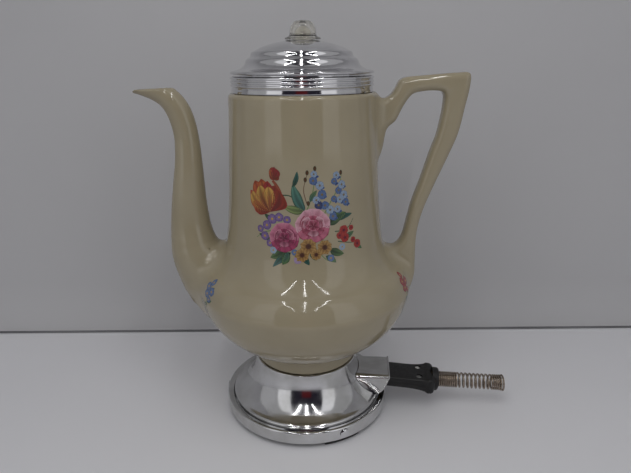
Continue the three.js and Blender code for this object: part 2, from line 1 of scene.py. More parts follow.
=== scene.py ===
"""Looks of the electric coffee percolator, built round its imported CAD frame.

Shapes are worked out in millimetres in the part's own frame (+Z up, origin on the pot's axis, at table level,
+X towards the handle and the plug) and are turned into metres where a mesh is made.
"""

import itertools
import json
import math
import random

import bpy
import numpy as np
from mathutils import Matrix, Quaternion, Vector


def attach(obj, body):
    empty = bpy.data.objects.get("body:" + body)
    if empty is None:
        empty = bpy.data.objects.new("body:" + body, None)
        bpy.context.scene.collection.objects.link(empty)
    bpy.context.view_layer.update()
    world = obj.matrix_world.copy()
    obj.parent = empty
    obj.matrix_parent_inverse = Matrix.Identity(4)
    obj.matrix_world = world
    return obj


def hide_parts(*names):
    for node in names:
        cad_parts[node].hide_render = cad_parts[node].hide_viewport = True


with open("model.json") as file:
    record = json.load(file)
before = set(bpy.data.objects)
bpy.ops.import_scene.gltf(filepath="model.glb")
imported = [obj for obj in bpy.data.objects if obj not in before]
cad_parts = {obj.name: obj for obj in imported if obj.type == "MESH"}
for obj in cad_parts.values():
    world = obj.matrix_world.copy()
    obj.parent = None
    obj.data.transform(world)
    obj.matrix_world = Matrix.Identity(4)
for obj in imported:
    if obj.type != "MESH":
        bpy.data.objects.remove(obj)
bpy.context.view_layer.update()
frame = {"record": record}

MM = 0.001
FINE = 192  # facets round a large turned piece
SMALL = 64  # facets round a small one


# ---------------------------------------------------------------- camera
def make_camera():
    """The camera at the photograph's viewing angle."""
    data = bpy.data.cameras.new("camera")
    data.sensor_width = 36
    data.lens = 30.0
    camera = bpy.data.objects.new("camera", data)
    camera.location = (0.0084, -0.387, 0.272)
    camera.rotation_mode = "QUATERNION"
    tilt = Quaternion((1, 0, 0), math.radians(90 - 18.3))
    roll = Quaternion((0, 0, 1), math.radians(-0.5))
    camera.rotation_quaternion = tilt @ roll
    bpy.context.scene.collection.objects.link(camera)
    bpy.context.scene.camera = camera


make_camera()
bpy.context.scene.view_settings.view_transform = "Standard"


# ---------------------------------------------------------------- curves and outlines
def smooth(points, per_span=8):
    """Points of a smooth line through the given points."""
    p = np.array(points, float)
    p = np.vstack([2 * p[0] - p[1], p, 2 * p[-1] - p[-2]])
    line = []
    for a, b, c, d in zip(p, p[1:], p[2:], p[3:]):
        for t in np.arange(per_span) / per_span:
            line.append(0.5 * (2 * b + (c - a) * t + (2 * a - 5 * b + 4 * c - d) * t**2
                               + (3 * b - a - 3 * c + d) * t**3))
    line.append(p[-2])
    return [tuple(q) for q in line]


def arc(r, z, radius, start, stop, steps=6):
    """Points round a circle in the profile plane, angles in degrees."""
    angles = np.radians(np.linspace(start, stop, steps + 1))
    return [(r + radius * math.cos(a), z + radius * math.sin(a)) for a in angles]


def soften(points, radius, steps=3, closed=True):
    """The outline with its corners rounded by up to that radius."""
    p = [np.array(q, float) for q in points]
    n = len(p)
    out = []
    for i, here in enumerate(p):
        if not closed and i in (0, n - 1):
            out.append(tuple(here))
            continue
        back, ahead = p[i - 1] - here, p[(i + 1) % n] - here
        lb, la = np.linalg.norm(back), np.linalg.norm(ahead)
        if lb < 1e-6 or la < 1e-6:
            continue
        turn = np.dot(back, ahead) / (lb * la)
        if turn < -0.97:
            out.append(tuple(here))
            continue
        start = here + back / lb * min(radius, 0.45 * lb)
        stop = here + ahead / la * min(radius, 0.45 * la)
        for t in np.linspace(0, 1, steps + 1):
            out.append(tuple((1 - t) ** 2 * start + 2 * t * (1 - t) * here + t**2 * stop))
    return out


# ---------------------------------------------------------------- meshes
def piece(name, points, faces, material, body, slot, stands_for=(), edge=35, normals=None):
    """A shown piece of the object, from points in millimetres."""
    mesh = bpy.data.meshes.new(name)
    mesh.from_pydata((np.asarray(points, float) * MM).tolist(), [], faces)
    mesh.validate()
    mesh.materials.append(material)
    mesh.shade_smooth()
    if normals is None:
        mesh.set_sharp_from_angle(angle=math.radians(edge))
    else:
        mesh.normals_split_custom_set_from_vertices(normals)
    obj = bpy.data.objects.new(name, mesh)
    bpy.context.scene.collection.objects.link(obj)
    if stands_for:
        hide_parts(*stands_for)
    if body:
        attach(obj, body)
    return obj


def turned(profile, facets=FINE, centre=(0, 0)):
    """Points and faces of a solid turned about Z. The profile is a loop, or starts and ends on the axis."""
    p = [tuple(q) for q in profile]
    area = sum(a[0] * b[1] - b[0] * a[1] for a, b in zip(p, p[1:] + p[:1]))
    if area < 0:
        p = p[::-1]
    on_axis = p[0][0] < 1e-6 and p[-1][0] < 1e-6
    points, rows = [], []
    angles = 2 * math.pi * np.arange(facets) / facets
    for r, z in p:
        if r < 1e-6:
            rows.append([len(points)] * facets)
            points.append((centre[0], centre[1], z))
        else:
            rows.append(list(range(len(points), len(points) + facets)))
            points += [(centre[0] + r * math.cos(a), centre[1] + r * math.sin(a), z) for a in angles]
    faces = []
    spans = len(rows) - 1 if on_axis else len(rows)
    for i in range(spans):
        low, high = rows[i], rows[(i + 1) % len(rows)]
        for k in range(facets):
            corners = [low[k], low[(k + 1) % facets], high[(k + 1) % facets], high[k]]
            face = list(dict.fromkeys(corners))
            if len(face) > 2:
                faces.append(face)
    return points, faces


def outward(points, faces):
    """The same closed skin with its faces pointing out."""
    p = np.array([tuple(q) for q in points])
    volume = sum(np.dot(p[f[0]], np.cross(p[f[i]], p[f[i + 1]])) for f in faces for i in range(1, len(f) - 1))
    return points, faces if volume > 0 else [f[::-1] for f in faces]


def lofted(rings):
    """A closed skin over rings that hold the same number of points each."""
    sides = len(rings[0])
    points = [tuple(q) for ring in rings for q in ring]
    faces = []
    for i in range(len(rings) - 1):
        for k in range(sides):
            a, b = i * sides + k, i * sides + (k + 1) % sides
            faces.append([a, b, b + sides, a + sides])
    faces.append(list(range(sides))[::-1])
    faces.append(list(range((len(rings) - 1) * sides, len(rings) * sides)))
    return outward(points, faces)


def rod(path, radius, sides=12):
    """Points and faces of a round bar along a row of points, with closed ends."""
    path = [Vector(p) for p in path]
    radii = radius if hasattr(radius, "__len__") else [radius] * len(path)
    tangents = [(path[min(i + 1, len(path) - 1)] - path[max(i - 1, 0)]).normalized() for i in range(len(path))]
    up = Vector((0, 0, 1)) if abs(tangents[0].z) < 0.9 else Vector((1, 0, 0))
    side = tangents[0].cross(up).normalized()
    rings = []
    for p, t, r in zip(path, tangents, radii):
        side = (side - t * side.dot(t)).normalized()
        other = t.cross(side)
        rings.append([p + (side * math.cos(a) + other * math.sin(a)) * r
                      for a in 2 * math.pi * np.arange(sides) / sides])
    return lofted(rings)


# ---------------------------------------------------------------- materials
def tree(name):
    """A new material with one shader."""
    material = bpy.data.materials.new(name)
    material.use_nodes = True
    nodes = material.node_tree.nodes
    nodes.clear()
    output = nodes.new("ShaderNodeOutputMaterial")
    shader = nodes.new("ShaderNodeBsdfPrincipled")
    material.node_tree.links.new(shader.outputs["BSDF"], output.inputs["Surface"])
    return material, nodes, material.node_tree.links, shader


def noise(nodes, links, scale, detail=4.0, stretch=(1, 1, 1), roughness=0.55):
    """Noise over the piece's own coordinates, at a scale in cycles per metre."""
    where = nodes.new("ShaderNodeTexCoord")
    mapping = nodes.new("ShaderNodeMapping")
    mapping.inputs["Scale"].default_value = stretch
    texture = nodes.new("ShaderNodeTexNoise")
    texture.inputs["Scale"].default_value = scale
    texture.inputs["Detail"].default_value = detail
    texture.inputs["Roughness"].default_value = roughness
    links.new(where.outputs["Object"], mapping.inputs["Vector"])
    links.new(mapping.outputs["Vector"], texture.inputs["Vector"])
    return texture.outputs["Fac"]


def ramp(nodes, links, value, stops):
    """A colour ramp: stops are (position, (r, g, b))."""
    node = nodes.new("ShaderNodeValToRGB")
    elements = node.color_ramp.elements
    while len(elements) < len(stops):
        elements.new(0.5)
    for element, (position, colour) in zip(elements, stops):
        element.position = position
        element.color = (*colour, 1)
    links.new(value, node.inputs["Fac"])
    return node.outputs["Color"]


def spread(nodes, links, value, low, high, from_low=0.3, from_high=0.7):
    """The value, moved from its middle range to low..high."""
    node = nodes.new("ShaderNodeMapRange")
    node.inputs["From Min"].default_value = from_low
    node.inputs["From Max"].default_value = from_high
    node.inputs["To Min"].default_value = low
    node.inputs["To Max"].default_value = high
    links.new(value, node.inputs["Value"])
    return node.outputs["Result"]


def relief(nodes, links, shader, height, strength, distance):
    """Fine unevenness of the surface."""
    bump = nodes.new("ShaderNodeBump")
    bump.inputs["Strength"].default_value = strength
    bump.inputs["Distance"].default_value = distance
    links.new(height, bump.inputs["Height"])
    links.new(bump.outputs["Normal"], shader.inputs["Normal"])


def plain(name, stops, roughness, metallic=0.0, scale=60, bump=0.0, bump_scale=900, detail=5.0,
          stretch=(1, 1, 1)):
    """A material whose colour and roughness drift over the surface, with a fine relief."""
    material, nodes, links, shader = tree(name)
    shader.inputs["Metallic"].default_value = metallic
    drift = noise(nodes, links, scale, detail, stretch)
    links.new(ramp(nodes, links, drift, stops), shader.inputs["Base Color"])
    wear = noise(nodes, links, scale * 2.7, 3.0, stretch)
    links.new(spread(nodes, links, wear, *roughness), shader.inputs["Roughness"])
    if bump:
        relief(nodes, links, shader, noise(nodes, links, bump_scale, 2.0, stretch), bump, 0.0002)
    return material, nodes, links, shader


def glaze():
    """Ivory glaze with a slight drift of tone."""
    material, nodes, links, shader = tree("ivory_glaze")
    drift = noise(nodes, links, 26, 3)
    links.new(ramp(nodes, links, drift, [(0.3, (0.335, 0.290, 0.195)), (0.7, (0.365, 0.318, 0.218))]),
              shader.inputs["Base Color"])
    links.new(spread(nodes, links, noise(nodes, links, 90, 2), 0.05, 0.10), shader.inputs["Roughness"])
    shader.inputs["IOR"].default_value = 1.52
    relief(nodes, links, shader, noise(nodes, links, 55, 1.5), 0.10, 0.0006)
    return material


def fired_paint():
    """Flower colours, taken from the points of the mesh."""
    material, nodes, links, shader = tree("fired_flower_paint")
    paint = nodes.new("ShaderNodeAttribute")
    paint.attribute_name = "paint"
    grain = ramp(nodes, links, noise(nodes, links, 1400, 3),
                 [(0.3, (0.80, 0.80, 0.80)), (0.7, (1.0, 1.0, 1.0))])
    mix = nodes.new("ShaderNodeMix")
    mix.data_type = "RGBA"
    mix.blend_type = "MULTIPLY"
    mix.inputs["Factor"].default_value = 0.75
    links.new(paint.outputs["Color"], mix.inputs["A"])
    links.new(grain, mix.inputs["B"])
    links.new(mix.outputs["Result"], shader.inputs["Base Color"])
    links.new(spread(nodes, links, noise(nodes, links, 300, 2), 0.08, 0.16), shader.inputs["Roughness"])
    shader.inputs["IOR"].default_value = 1.5
    return material


def chrome(name="chrome_plate", low=(0.60, 0.60, 0.61), high=(0.72, 0.72, 0.735), haze=(0.045, 0.13)):
    """Plated metal with smears and fine scratches."""
    material, nodes, links, shader = tree(name)
    shader.inputs["Metallic"].default_value = 1
    links.new(ramp(nodes, links, noise(nodes, links, 45, 5), [(0.35, low), (0.65, high)]),
              shader.inputs["Base Color"])
    smear = noise(nodes, links, 70, 6, (1, 1, 2.5), 0.65)
    links.new(spread(nodes, links, smear, *haze), shader.inputs["Roughness"])
    scratch = noise(nodes, links, 260, 3, (1, 1, 14))
    relief(nodes, links, shader, scratch, 0.05, 0.00008)
    return material


def clear_glass():
    """Pressed glass, faintly tinted."""
    material, nodes, links, shader = tree("pressed_glass")
    links.new(ramp(nodes, links, noise(nodes, links, 120, 2),
                   [(0.3, (0.86, 0.84, 0.76)), (0.7, (0.93, 0.91, 0.84))]),
              shader.inputs["Base Color"])
    links.new(spread(nodes, links, noise(nodes, links, 200, 3), 0.0, 0.05), shader.inputs["Roughness"])
    shader.inputs["Transmission Weight"].default_value = 1
    shader.inputs["IOR"].default_value = 1.5
    relief(nodes, links, shader, noise(nodes, links, 160, 1), 0.08, 0.0004)
    return material


china_glaze = glaze()
chrome_plate = chrome()
base_chrome = chrome("base_chrome", (0.50, 0.50, 0.49), (0.68, 0.68, 0.69), (0.06, 0.20))
glass = clear_glass()
bakelite = plain("worn_bakelite", [(0.25, (0.002, 0.0018, 0.002)), (0.6, (0.005, 0.0045, 0.0045)),
                                   (0.8, (0.035, 0.030, 0.028))], (0.3, 0.55), scale=150, bump=0.25,
                 bump_scale=1500)[0]
fibre = plain("black_fibre", [(0.3, (0.008, 0.008, 0.009)), (0.7, (0.03, 0.029, 0.03))], (0.6, 0.85), scale=200,
              bump=0.4, bump_scale=2500)[0]
warm_nickel = plain("warm_nickel", [(0.3, (0.22, 0.17, 0.13)), (0.7, (0.42, 0.355, 0.29))], (0.12, 0.28), 1.0,
                    scale=250, bump=0.1, bump_scale=2500)[0]
spun = plain("spun_aluminium", [(0.3, (0.48, 0.48, 0.48)), (0.7, (0.62, 0.62, 0.63))], (0.24, 0.42), 1.0,
             scale=80,
             bump=0.12, bump_scale=700, stretch=(1, 1, 8))[0]
steel = plain("plain_steel", [(0.3, (0.30, 0.30, 0.29)), (0.7, (0.46, 0.46, 0.45))], (0.28, 0.5), 1.0, scale=90,
              bump=0.15, bump_scale=1200)[0]
brass = plain("dull_brass", [(0.3, (0.36, 0.25, 0.10)), (0.7, (0.58, 0.42, 0.18))], (0.22, 0.42), 1.0,
              scale=160,
              bump=0.1, bump_scale=1500)[0]
rubber = plain("grey_rubber", [(0.3, (0.025, 0.024, 0.023)), (0.7, (0.05, 0.048, 0.046))], (0.6, 0.85),
               scale=180,
               bump=0.3, bump_scale=2000)[0]
cork = plain("pressed_cork", [(0.35, (0.22, 0.13, 0.06)), (0.5, (0.42, 0.28, 0.15)), (0.7, (0.52, 0.36, 0.20))],
             (0.75, 0.95), scale=700, bump=0.6, bump_scale=1200)[0]
porcelain = plain("raw_porcelain", [(0.3, (0.62, 0.59, 0.52)), (0.7, (0.74, 0.72, 0.66))], (0.4, 0.6), scale=70,
                  bump=0.15, bump_scale=1800)[0]
mica = plain("pressed_mica", [(0.3, (0.28, 0.22, 0.14)), (0.5, (0.45, 0.38, 0.27)), (0.7, (0.60, 0.54, 0.42))],
             (0.25, 0.5), scale=350, bump=0.3, bump_scale=900)[0]
finishes = {"china": china_glaze, "chrome": chrome_plate, "steel": steel, "nickel": warm_nickel, "brass": brass,
            "aluminium": spun, "bakelite": bakelite, "fibre": fibre, "cork": cork, "rubber": rubber,
            "porcelain": porcelain, "mica": mica, "glass": glass}
slots = {row["node"]: row["material_slot"] for row in frame["record"]["subparts"]}
bodies = {node: body for body, nodes in frame["record"]["behaviour"]["bodies"].items() for node in nodes}


def show(node, part, edge=35, material=None):
    """The looks of one CAD node."""
    return piece(node + "_look", *part, material or finishes[slots[node]], bodies[node], slots[node], [node],
                 edge)


def carve(obj, part, operation="DIFFERENCE", edge=35):
    """Cuts a closed shape out of the piece, or adds it."""
    mesh = bpy.data.meshes.new("tool")
    mesh.from_pydata((np.asarray(part[0], float) * MM).tolist(), [], part[1])
    mesh.validate()
    tool = bpy.data.objects.new("tool", mesh)
    bpy.context.scene.collection.objects.link(tool)
    step = obj.modifiers.new("carve", "BOOLEAN")
    step.operation, step.object, step.solver = operation, tool, "EXACT"
    bpy.context.view_layer.update()
    shaped = bpy.data.meshes.new_from_object(obj.evaluated_get(bpy.context.evaluated_depsgraph_get()))
    obj.modifiers.remove(step)
    old, obj.data = obj.data, shaped
    shaped.name = obj.name
    shaped.shade_smooth()
    shaped.set_sharp_from_angle(angle=math.radians(edge))
    bpy.data.objects.remove(tool)
    bpy.data.meshes.remove(mesh)
    bpy.data.meshes.remove(old)


def block(x0, x1, y0, y1, z0, z1):
    """A box between those limits."""
    points = list(itertools.product((x0, x1), (y0, y1), (z0, z1)))
    return points, [[0, 1, 3, 2], [4, 6, 7, 5], [0, 4, 5, 1], [2, 3, 7, 6], [0, 2, 6, 4], [1, 5, 7, 3]]


def bar(radius, start, end, sides=SMALL):
    """A plain round cutter between two points."""
    return rod([start, end], radius, sides)


def turn_z(part, degrees):
    """The part turned about Z."""
    a = math.radians(degrees)
    c, s = math.cos(a), math.sin(a)
    return [(x * c - y * s, x * s + y * c, z) for x, y, z in part[0]], part[1]


def shift(part, x=0, y=0, z=0):
    """The part moved."""
    return [(a + x, b + y, c + z) for a, b, c in part[0]], part[1]


def lie_along_x(part):
    """From +Z to +X."""
    return [(z, y, -x) for x, y, z in part[0]], part[1]


# ---------------------------------------------------------------- china: one skin over body, spout and handle
CELL = 1.5  # spacing of the china's mesh
GRID = 0.5  # spacing of the flat fields it is worked out from

CHINA_FOOT_Z = 46
REBATE_Z = 252.3
REBATE_R = 47.2
CHINA_TOP = 261.6
MOUTH_R = 44.6

foot_rise = [(39.6, CHINA_FOOT_Z), (40.6, 52), (41.6, 57.5)]
bulb = [(43.5, 59.5), (52, 62.6), (62.5, 70.5), (71.5, 80), (78, 91.5), (81.6, 105), (81.0, 111), (79.2, 116.6),
        (76.9, 120.6), (75.0, 122.6)]
neck = [(74.0, 123.5), (70.4, 125.6), (66.4, 129.2), (63.0, 134.2), (60.4, 141), (58.7, 150), (57.2, 164),
        (55.7, 184),
        (54.3, 210), (53, 235), (52.6, 249)]
china_outside = smooth(foot_rise + bulb, 8)[:-1] + smooth(neck + [(51.8, 251.4)], 8)
china_inside = smooth([(44.6, 250), (48.2, 243), (49.8, 210), (51.4, 184), (53, 164), (54, 148), (56.6, 136),
                       (65.5, 123.5), (75.6, 108.5), (75.4, 98), (68, 82.5), (55, 70), (40, 64.4)], 8)
spout_outer = smooth([(-66, 72), (-83.5, 81), (-92.5, 94), (-99.5, 111), (-103.2, 130), (-102.9, 147),
                      (-101, 166),
                      (-98.2, 184.5), (-95.1, 203), (-93.9, 217), (-94.6, 227), (-97.4, 237), (-101.6, 243.8),
                      (-107.8, 248), (-114.6, 250.8), (-123, 254.6)], 6)
spout_inner = smooth([(-44, 124), (-58, 137), (-66, 143), (-69.8, 149), (-71.8, 156), (-73, 164.5), (-74, 177),
                      (-74.4, 190), (-74.9, 204), (-75.6, 216.5), (-77, 229), (-80, 240.5), (-84.4, 248.8),
                      (-91, 255.5), (-99, 260.5), (-109, 264)], 6)
handle_outer = smooth([(46, 247.5), (56, 246.8), (62.3, 250), (65.9, 254.8), (68.6, 259.8), (73.5, 262),
                       (85, 263),
                       (98, 264), (109, 264.7), (117.4, 264.2), (118, 255), (115.7, 241.5), (112.2, 223),
                       (105.8, 205.8), (97.8, 186.5), (90.6, 167.8), (86.9, 153.5), (85.6, 140), (85.6, 126),
                       (84.6, 113), (76, 102)], 5)
handle_inner = smooth([(46, 206), (55.6, 211), (60.2, 226), (66.5, 232.2), (71.6, 242.2), (77.4, 250),
                       (84.5, 252.1), (91.5, 252.6), (97, 252.3), (100, 250.6), (100.7, 246), (100, 237.5),
                       (97.2, 222), (92.8, 208.8), (87, 189), (81, 170.5), (77.6, 155), (74.8, 144),
                       (70, 137.5),
                       (60, 133), (50, 120)], 5)
SPOUT_WALL = 2.6
MOUTH_X, MOUTH_Z, MOUTH_SLOPE = -108, 255.4, math.tan(math.radians(3))
TIP_X = -120.9


def weights(f):
    """Weights of the four nearest grid points."""
    return ((1 - f) ** 3 / 6, (3 * f**3 - 6 * f**2 + 4) / 6, (-3 * f**3 + 3 * f**2 + 3 * f + 1) / 6, f**3 / 6)


class Flat:
    """Values on a flat grid, read between its points with a smooth spline."""

    def __init__(self, low, high):
        self.low = low
        self.a, self.b = np.meshgrid(np.arange(low[0], high[0], GRID), np.arange(low[1], high[1], GRID),
                                     indexing="ij")
        self.values = None

    def read(self, a, b):
        s, t = (a - self.low[0]) / GRID, (b - self.low[1]) / GRID
        i = np.clip(s.astype(int), 1, self.values.shape[0] - 3)
        j = np.clip(t.astype(int), 1, self.values.shape[1] - 3)
        wa, wb = weights(np.clip(s - i, 0, 1)), weights(np.clip(t - j, 0, 1))
        return sum(wa[k] * sum(wb[m] * self.values[i + k - 1, j + m - 1] for m in range(4)) for k in range(4))

    def nearest_on(self, line):
        """Squared distance to the nearest point of an open line, how far along that is, and the side."""
        best, along, side = np.full(self.a.shape, 1e9), np.zeros(self.a.shape), np.zeros(self.a.shape)
        for i, ((x0, y0), (x1, y1)) in enumerate(zip(line, line[1:])):
            dx, dy = x1 - x0, y1 - y0
            t = np.clip(((self.a - x0) * dx + (self.b - y0) * dy) / (dx * dx + dy * dy), 0, 1)
            ex, ey = self.a - x0 - t * dx, self.b - y0 - t * dy
            d = ex * ex + ey * ey
            closer = d < best
            best = np.where(closer, d, best)
            along = np.where(closer, (i + t) / (len(line) - 1), along)
            side = np.where(closer, np.sign(dx * ey - dy * ex), side)
        return best, along, side

    def fill(self, outline):
        """Distance to a closed outline, negative inside."""
        inside = np.zeros(self.a.shape, bool)
        for (x0, y0), (x1, y1) in zip(outline, outline[1:] + outline[:1]):
            if y0 != y1:
                inside ^= ((y0 > self.b) != (y1 > self.b)) & (self.a < x0
                                                              + (self.b - y0) * (x1 - x0) / (y1 - y0))
        distance = np.sqrt(self.nearest_on(outline + outline[:1])[0])
        self.values = np.where(inside, -distance, distance)
        return self


def mirrored(half):
    """The outline with its other half."""
    return half + [(-r, z) for r, z in half[::-1]]


body_out = Flat((-8, 36), (128, 276)).fill(mirrored(
    [(39.6, 46)] + china_outside + [(50.6, REBATE_Z), (REBATE_R, REBATE_Z), (REBATE_R, CHINA_TOP)]))
body_in = Flat((-8, 36), (128, 276)).fill(mirrored(
    [(35.5, 30), (35.5, 58), (22.9, 58), (22.9, 64)] + china_inside[::-1] + [(MOUTH_R, 290)]))


def middle_line(outer, inner, rounds=5):
    """The line halfway between two edge lines, and half the width across it, at each of its points."""
    outer, inner = np.array(outer), np.array(inner)
    line = (outer + inner) / 2
    for _ in range(rounds):
        to_outer = np.linalg.norm(line[:, None] - outer[None], axis=2)
        to_inner = np.linalg.norm(line[:, None] - inner[None], axis=2)
        near_outer, near_inner = outer[to_outer.argmin(1)], inner[to_inner.argmin(1)]
        line[1:-1] = (0.5 * line + 0.25 * (near_outer + near_inner))[1:-1]
        line[1:-1] = (line[:-2] + 2 * line[1:-1] + line[2:]) / 4
    half = (np.linalg.norm(line[:, None] - outer[None], axis=2).min(1)
            + np.linalg.norm(line[:, None] - inner[None], axis=2).min(1)) / 2
    return line.tolist(), half


spout_line, spout_half = middle_line(spout_outer, spout_inner)
spout_place = Flat((-130, 60), (-20, 272))
distance2, spout_along, spout_side = spout_place.nearest_on(spout_line)
spout_across = Flat((-130, 60), (-20, 272))
spout_across.values = np.sqrt(distance2) * spout_side
steps = np.linspace(0, 1, len(spout_line))
spout_a = Flat((-130, 60), (-20, 272))
spout_a.values = np.interp(spout_along, steps, spout_half)
spout_b = Flat((-130, 60), (-20, 272))
narrowing = np.minimum(1, spout_along / 0.62) ** 0.6
spout_b.values = 24 + (7.6 - 24) * narrowing - 1.6 * np.maximum(0, spout_along - 0.8)

handle_side = Flat((36, 94), (128, 276)).fill(handle_outer + handle_inner[::-1])
handle_line, _ = middle_line(handle_outer, handle_inner, 0)
handle_wide = Flat((36, 94), (128, 276))
handle_along = handle_wide.nearest_on(handle_line)[1]
slimmer, foot = np.minimum(1, handle_along / 0.6), np.maximum(0, handle_along - 0.85) / 0.15
handle_wide.values = 8.2 - 1.2 * slimmer + 2.5 * foot
HANDLE_EDGE = 4.6  # rounding of the handle's edges


def blend(a, b, k):
    """Two shapes joined with a fillet of about k."""
    h = np.clip(0.5 + 0.5 * (b - a) / k, 0, 1)
    return b * (1 - h) + a * h - k * h * (1 - h)


def trim(a, b, k):
    """What two shapes share, its edge rounded by about k."""
    return -blend(-a, -b, k)


def oval(u, v, a, b):
    """Distance to an oval of half widths a and b, near its edge."""
    k0 = np.sqrt((u / a) ** 2 + (v / b) ** 2)
    k1 = np.sqrt((u / a**2) ** 2 + (v / b**2) ** 2) + 1e-6
    return k0 * (k0 - 1) / k1


STRAINER = [(0, 0), (9, 7), (-9, 7), (9, -7), (-9, -7)]


def china(x, y, z):
    """Distance to the china's surface, negative in the china."""
    r = np.sqrt(x * x + y * y)
    body = body_out.read(r, z)
    skin = body.copy()
    at_spout = np.nonzero((x < -30) & (np.abs(y) < 45) & (z > 62))[0]
    xs, ys, zs, bs = x[at_spout], y[at_spout], z[at_spout], body[at_spout]
    u, a, b = spout_across.read(xs, zs), spout_a.read(xs, zs), spout_b.read(xs, zs)
    joined_spout = blend(bs, oval(u, ys, a, b), 11)
    bore = trim(oval(u, ys, a - SPOUT_WALL, b - SPOUT_WALL), -bs, 1.5)
    joined_spout = trim(joined_spout, -bore, 1.2)
    for hole_y, hole_z in STRAINER:
        hole = np.sqrt((ys - hole_y) ** 2 + (zs - 104 - hole_z) ** 2) - 3
        joined_spout = trim(joined_spout, -np.maximum(hole, np.abs(xs + 74) - 17), 0.8)
    above = np.where(xs < -60, zs - MOUTH_Z - MOUTH_SLOPE * (xs - MOUTH_X), -20.0)
    joined_spout = trim(trim(joined_spout, above, 1.6), TIP_X - xs, 2)
    skin[at_spout] = joined_spout
    at_handle = np.nonzero((x > 38) & (np.abs(y) < 40) & (z > 96))[0]
    xh, yh, zh = x[at_handle], y[at_handle], z[at_handle]
    flat = handle_side.read(xh, zh) + HANDLE_EDGE
    wide = np.abs(yh) - handle_wide.read(xh, zh) + HANDLE_EDGE
    limb = np.hypot(np.maximum(flat, 0),
                    np.maximum(wide, 0)) + np.minimum(np.maximum(flat, wide), 0) - HANDLE_EDGE
    skin[at_handle] = blend(skin[at_handle], limb, 9)
    return trim(skin, -body_in.read(r, z), 1.4)


def slope_of(points, h=0.7):
    """The direction out of the china at each point."""
    x, y, z = points.T
    g = np.stack([china(x + h, y, z) - china(x - h, y, z), china(x, y + h, z) - china(x, y - h, z),
                  china(x, y, z + h) - china(x, y, z - h)], 1)
    return g / (np.linalg.norm(g, axis=1, keepdims=True) + 1e-9)


def surface_net(values, xs, ys, zs):
    """Points and four-sided faces on the zero surface of a grid of values, faces outward."""
    ny, nz = values.shape[1:]
    inside = values < 0
    axes = (xs, ys, zs)
    ids, spots, quads = [], [], []
    for axis in range(3):
        cut = [slice(None)] * 3
        nxt = [slice(None)] * 3
        cut[axis], nxt[axis] = slice(0, -1), slice(1, None)
        crossing = np.argwhere(inside[tuple(cut)] != inside[tuple(nxt)])
        far = crossing.copy()
        far[:, axis] += 1
        v0, v1 = values[tuple(crossing.T)], values[tuple(far.T)]
        spot = np.stack([axes[k][crossing[:, k]] for k in range(3)], 1).astype(float)
        spot[:, axis] += v0 / (v0 - v1) * CELL
        b, c = (axis + 1) % 3, (axis + 2) % 3
        around = []
        for db, dc in ((-1, -1), (0, -1), (0, 0), (-1, 0)):
            cell = crossing.copy()
            cell[:, b] += db
            cell[:, c] += dc
            around.append((cell[:, 0] * ny + cell[:, 1]) * nz + cell[:, 2])
            ids.append(around[-1])
            spots.append(spot)
        quad = np.stack(around, 1)
        quad[v0 > v1] = quad[v0 > v1][:, ::-1]
        quads.append(quad)
    ids, spots, quads = np.concatenate(ids), np.concatenate(spots), np.concatenate(quads)
    used, inverse = np.unique(ids, return_inverse=True)
    count = np.bincount(inverse)
    points = np.stack([np.bincount(inverse, spots[:, k]) / count for k in range(3)], 1)
    return points, np.searchsorted(used, quads)


def china_mesh():
    """An even mesh of the china, with its normals."""
    xs = np.arange(-124, 122, CELL)
    ys = np.arange(-84.3, 85, CELL)
    zs = np.arange(43.2, 268, CELL)
    grid = np.empty((len(xs), len(ys), len(zs)))
    Y, Z = np.meshgrid(ys, zs, indexing="ij")
    for i in range(0, len(xs), 8):
        X = xs[i:i + 8, None, None] + 0 * Y[None]
        shape = X.shape
        grid[i:i + 8] = china(X.ravel(), (Y[None] + 0 * X).ravel(), (Z[None] + 0 * X).ravel()).reshape(shape)
    points, quads = surface_net(grid, xs, ys, zs)
    a, b = quads.ravel(), np.roll(quads, -1, 1).ravel()
    degree = np.bincount(np.concatenate([a, b]), minlength=len(points))[:, None]
    for _ in range(4):
        total = np.stack([np.bincount(np.concatenate([a, b]), np.concatenate([points[b, k], points[a, k]]),
                                      minlength=len(points)) for k in range(3)], 1)
        move = total / degree - points
        normal = slope_of(points)
        points = points + 0.6 * (move - normal * (move * normal).sum(1, keepdims=True))
        points -= slope_of(points) * china(*points.T)[:, None]
    return points, quads.tolist(), slope_of(points)


points, faces, normals = china_mesh()
piece("china_pot", points, faces, china_glaze, bodies["china_body"], slots["china_body"],
      ["china_body", "spout", "handle"], normals=normals)


# ---------------------------------------------------------------- collar, lid and knob
KNOB_X = 0.9


def collar_profile():
    """The neck collar with its three beads."""
    ribs = []
    for z in (257.4, 259.8, 262.3):
        ribs += arc(49.6, z, 0.95, -75, 75, 8)
    return ([(48.5, 252.7), (49.9, 252.7), (50.0, 253.6), (49.7, 255.0), (49.6, 256.2)] + ribs
            + [(49.3, 263.5), (48.6, 263.6), (44.6, 263.6), (44.5, 263.2), (44.6, 262.75), (48.3, 262.7)])


show("neck_collar", turned(collar_profile()), 50)
show("collar_cork_ring", turned([(47.55, 252.7), (48.2, 252.7), (48.2, 261.2), (47.55, 261.2)]))

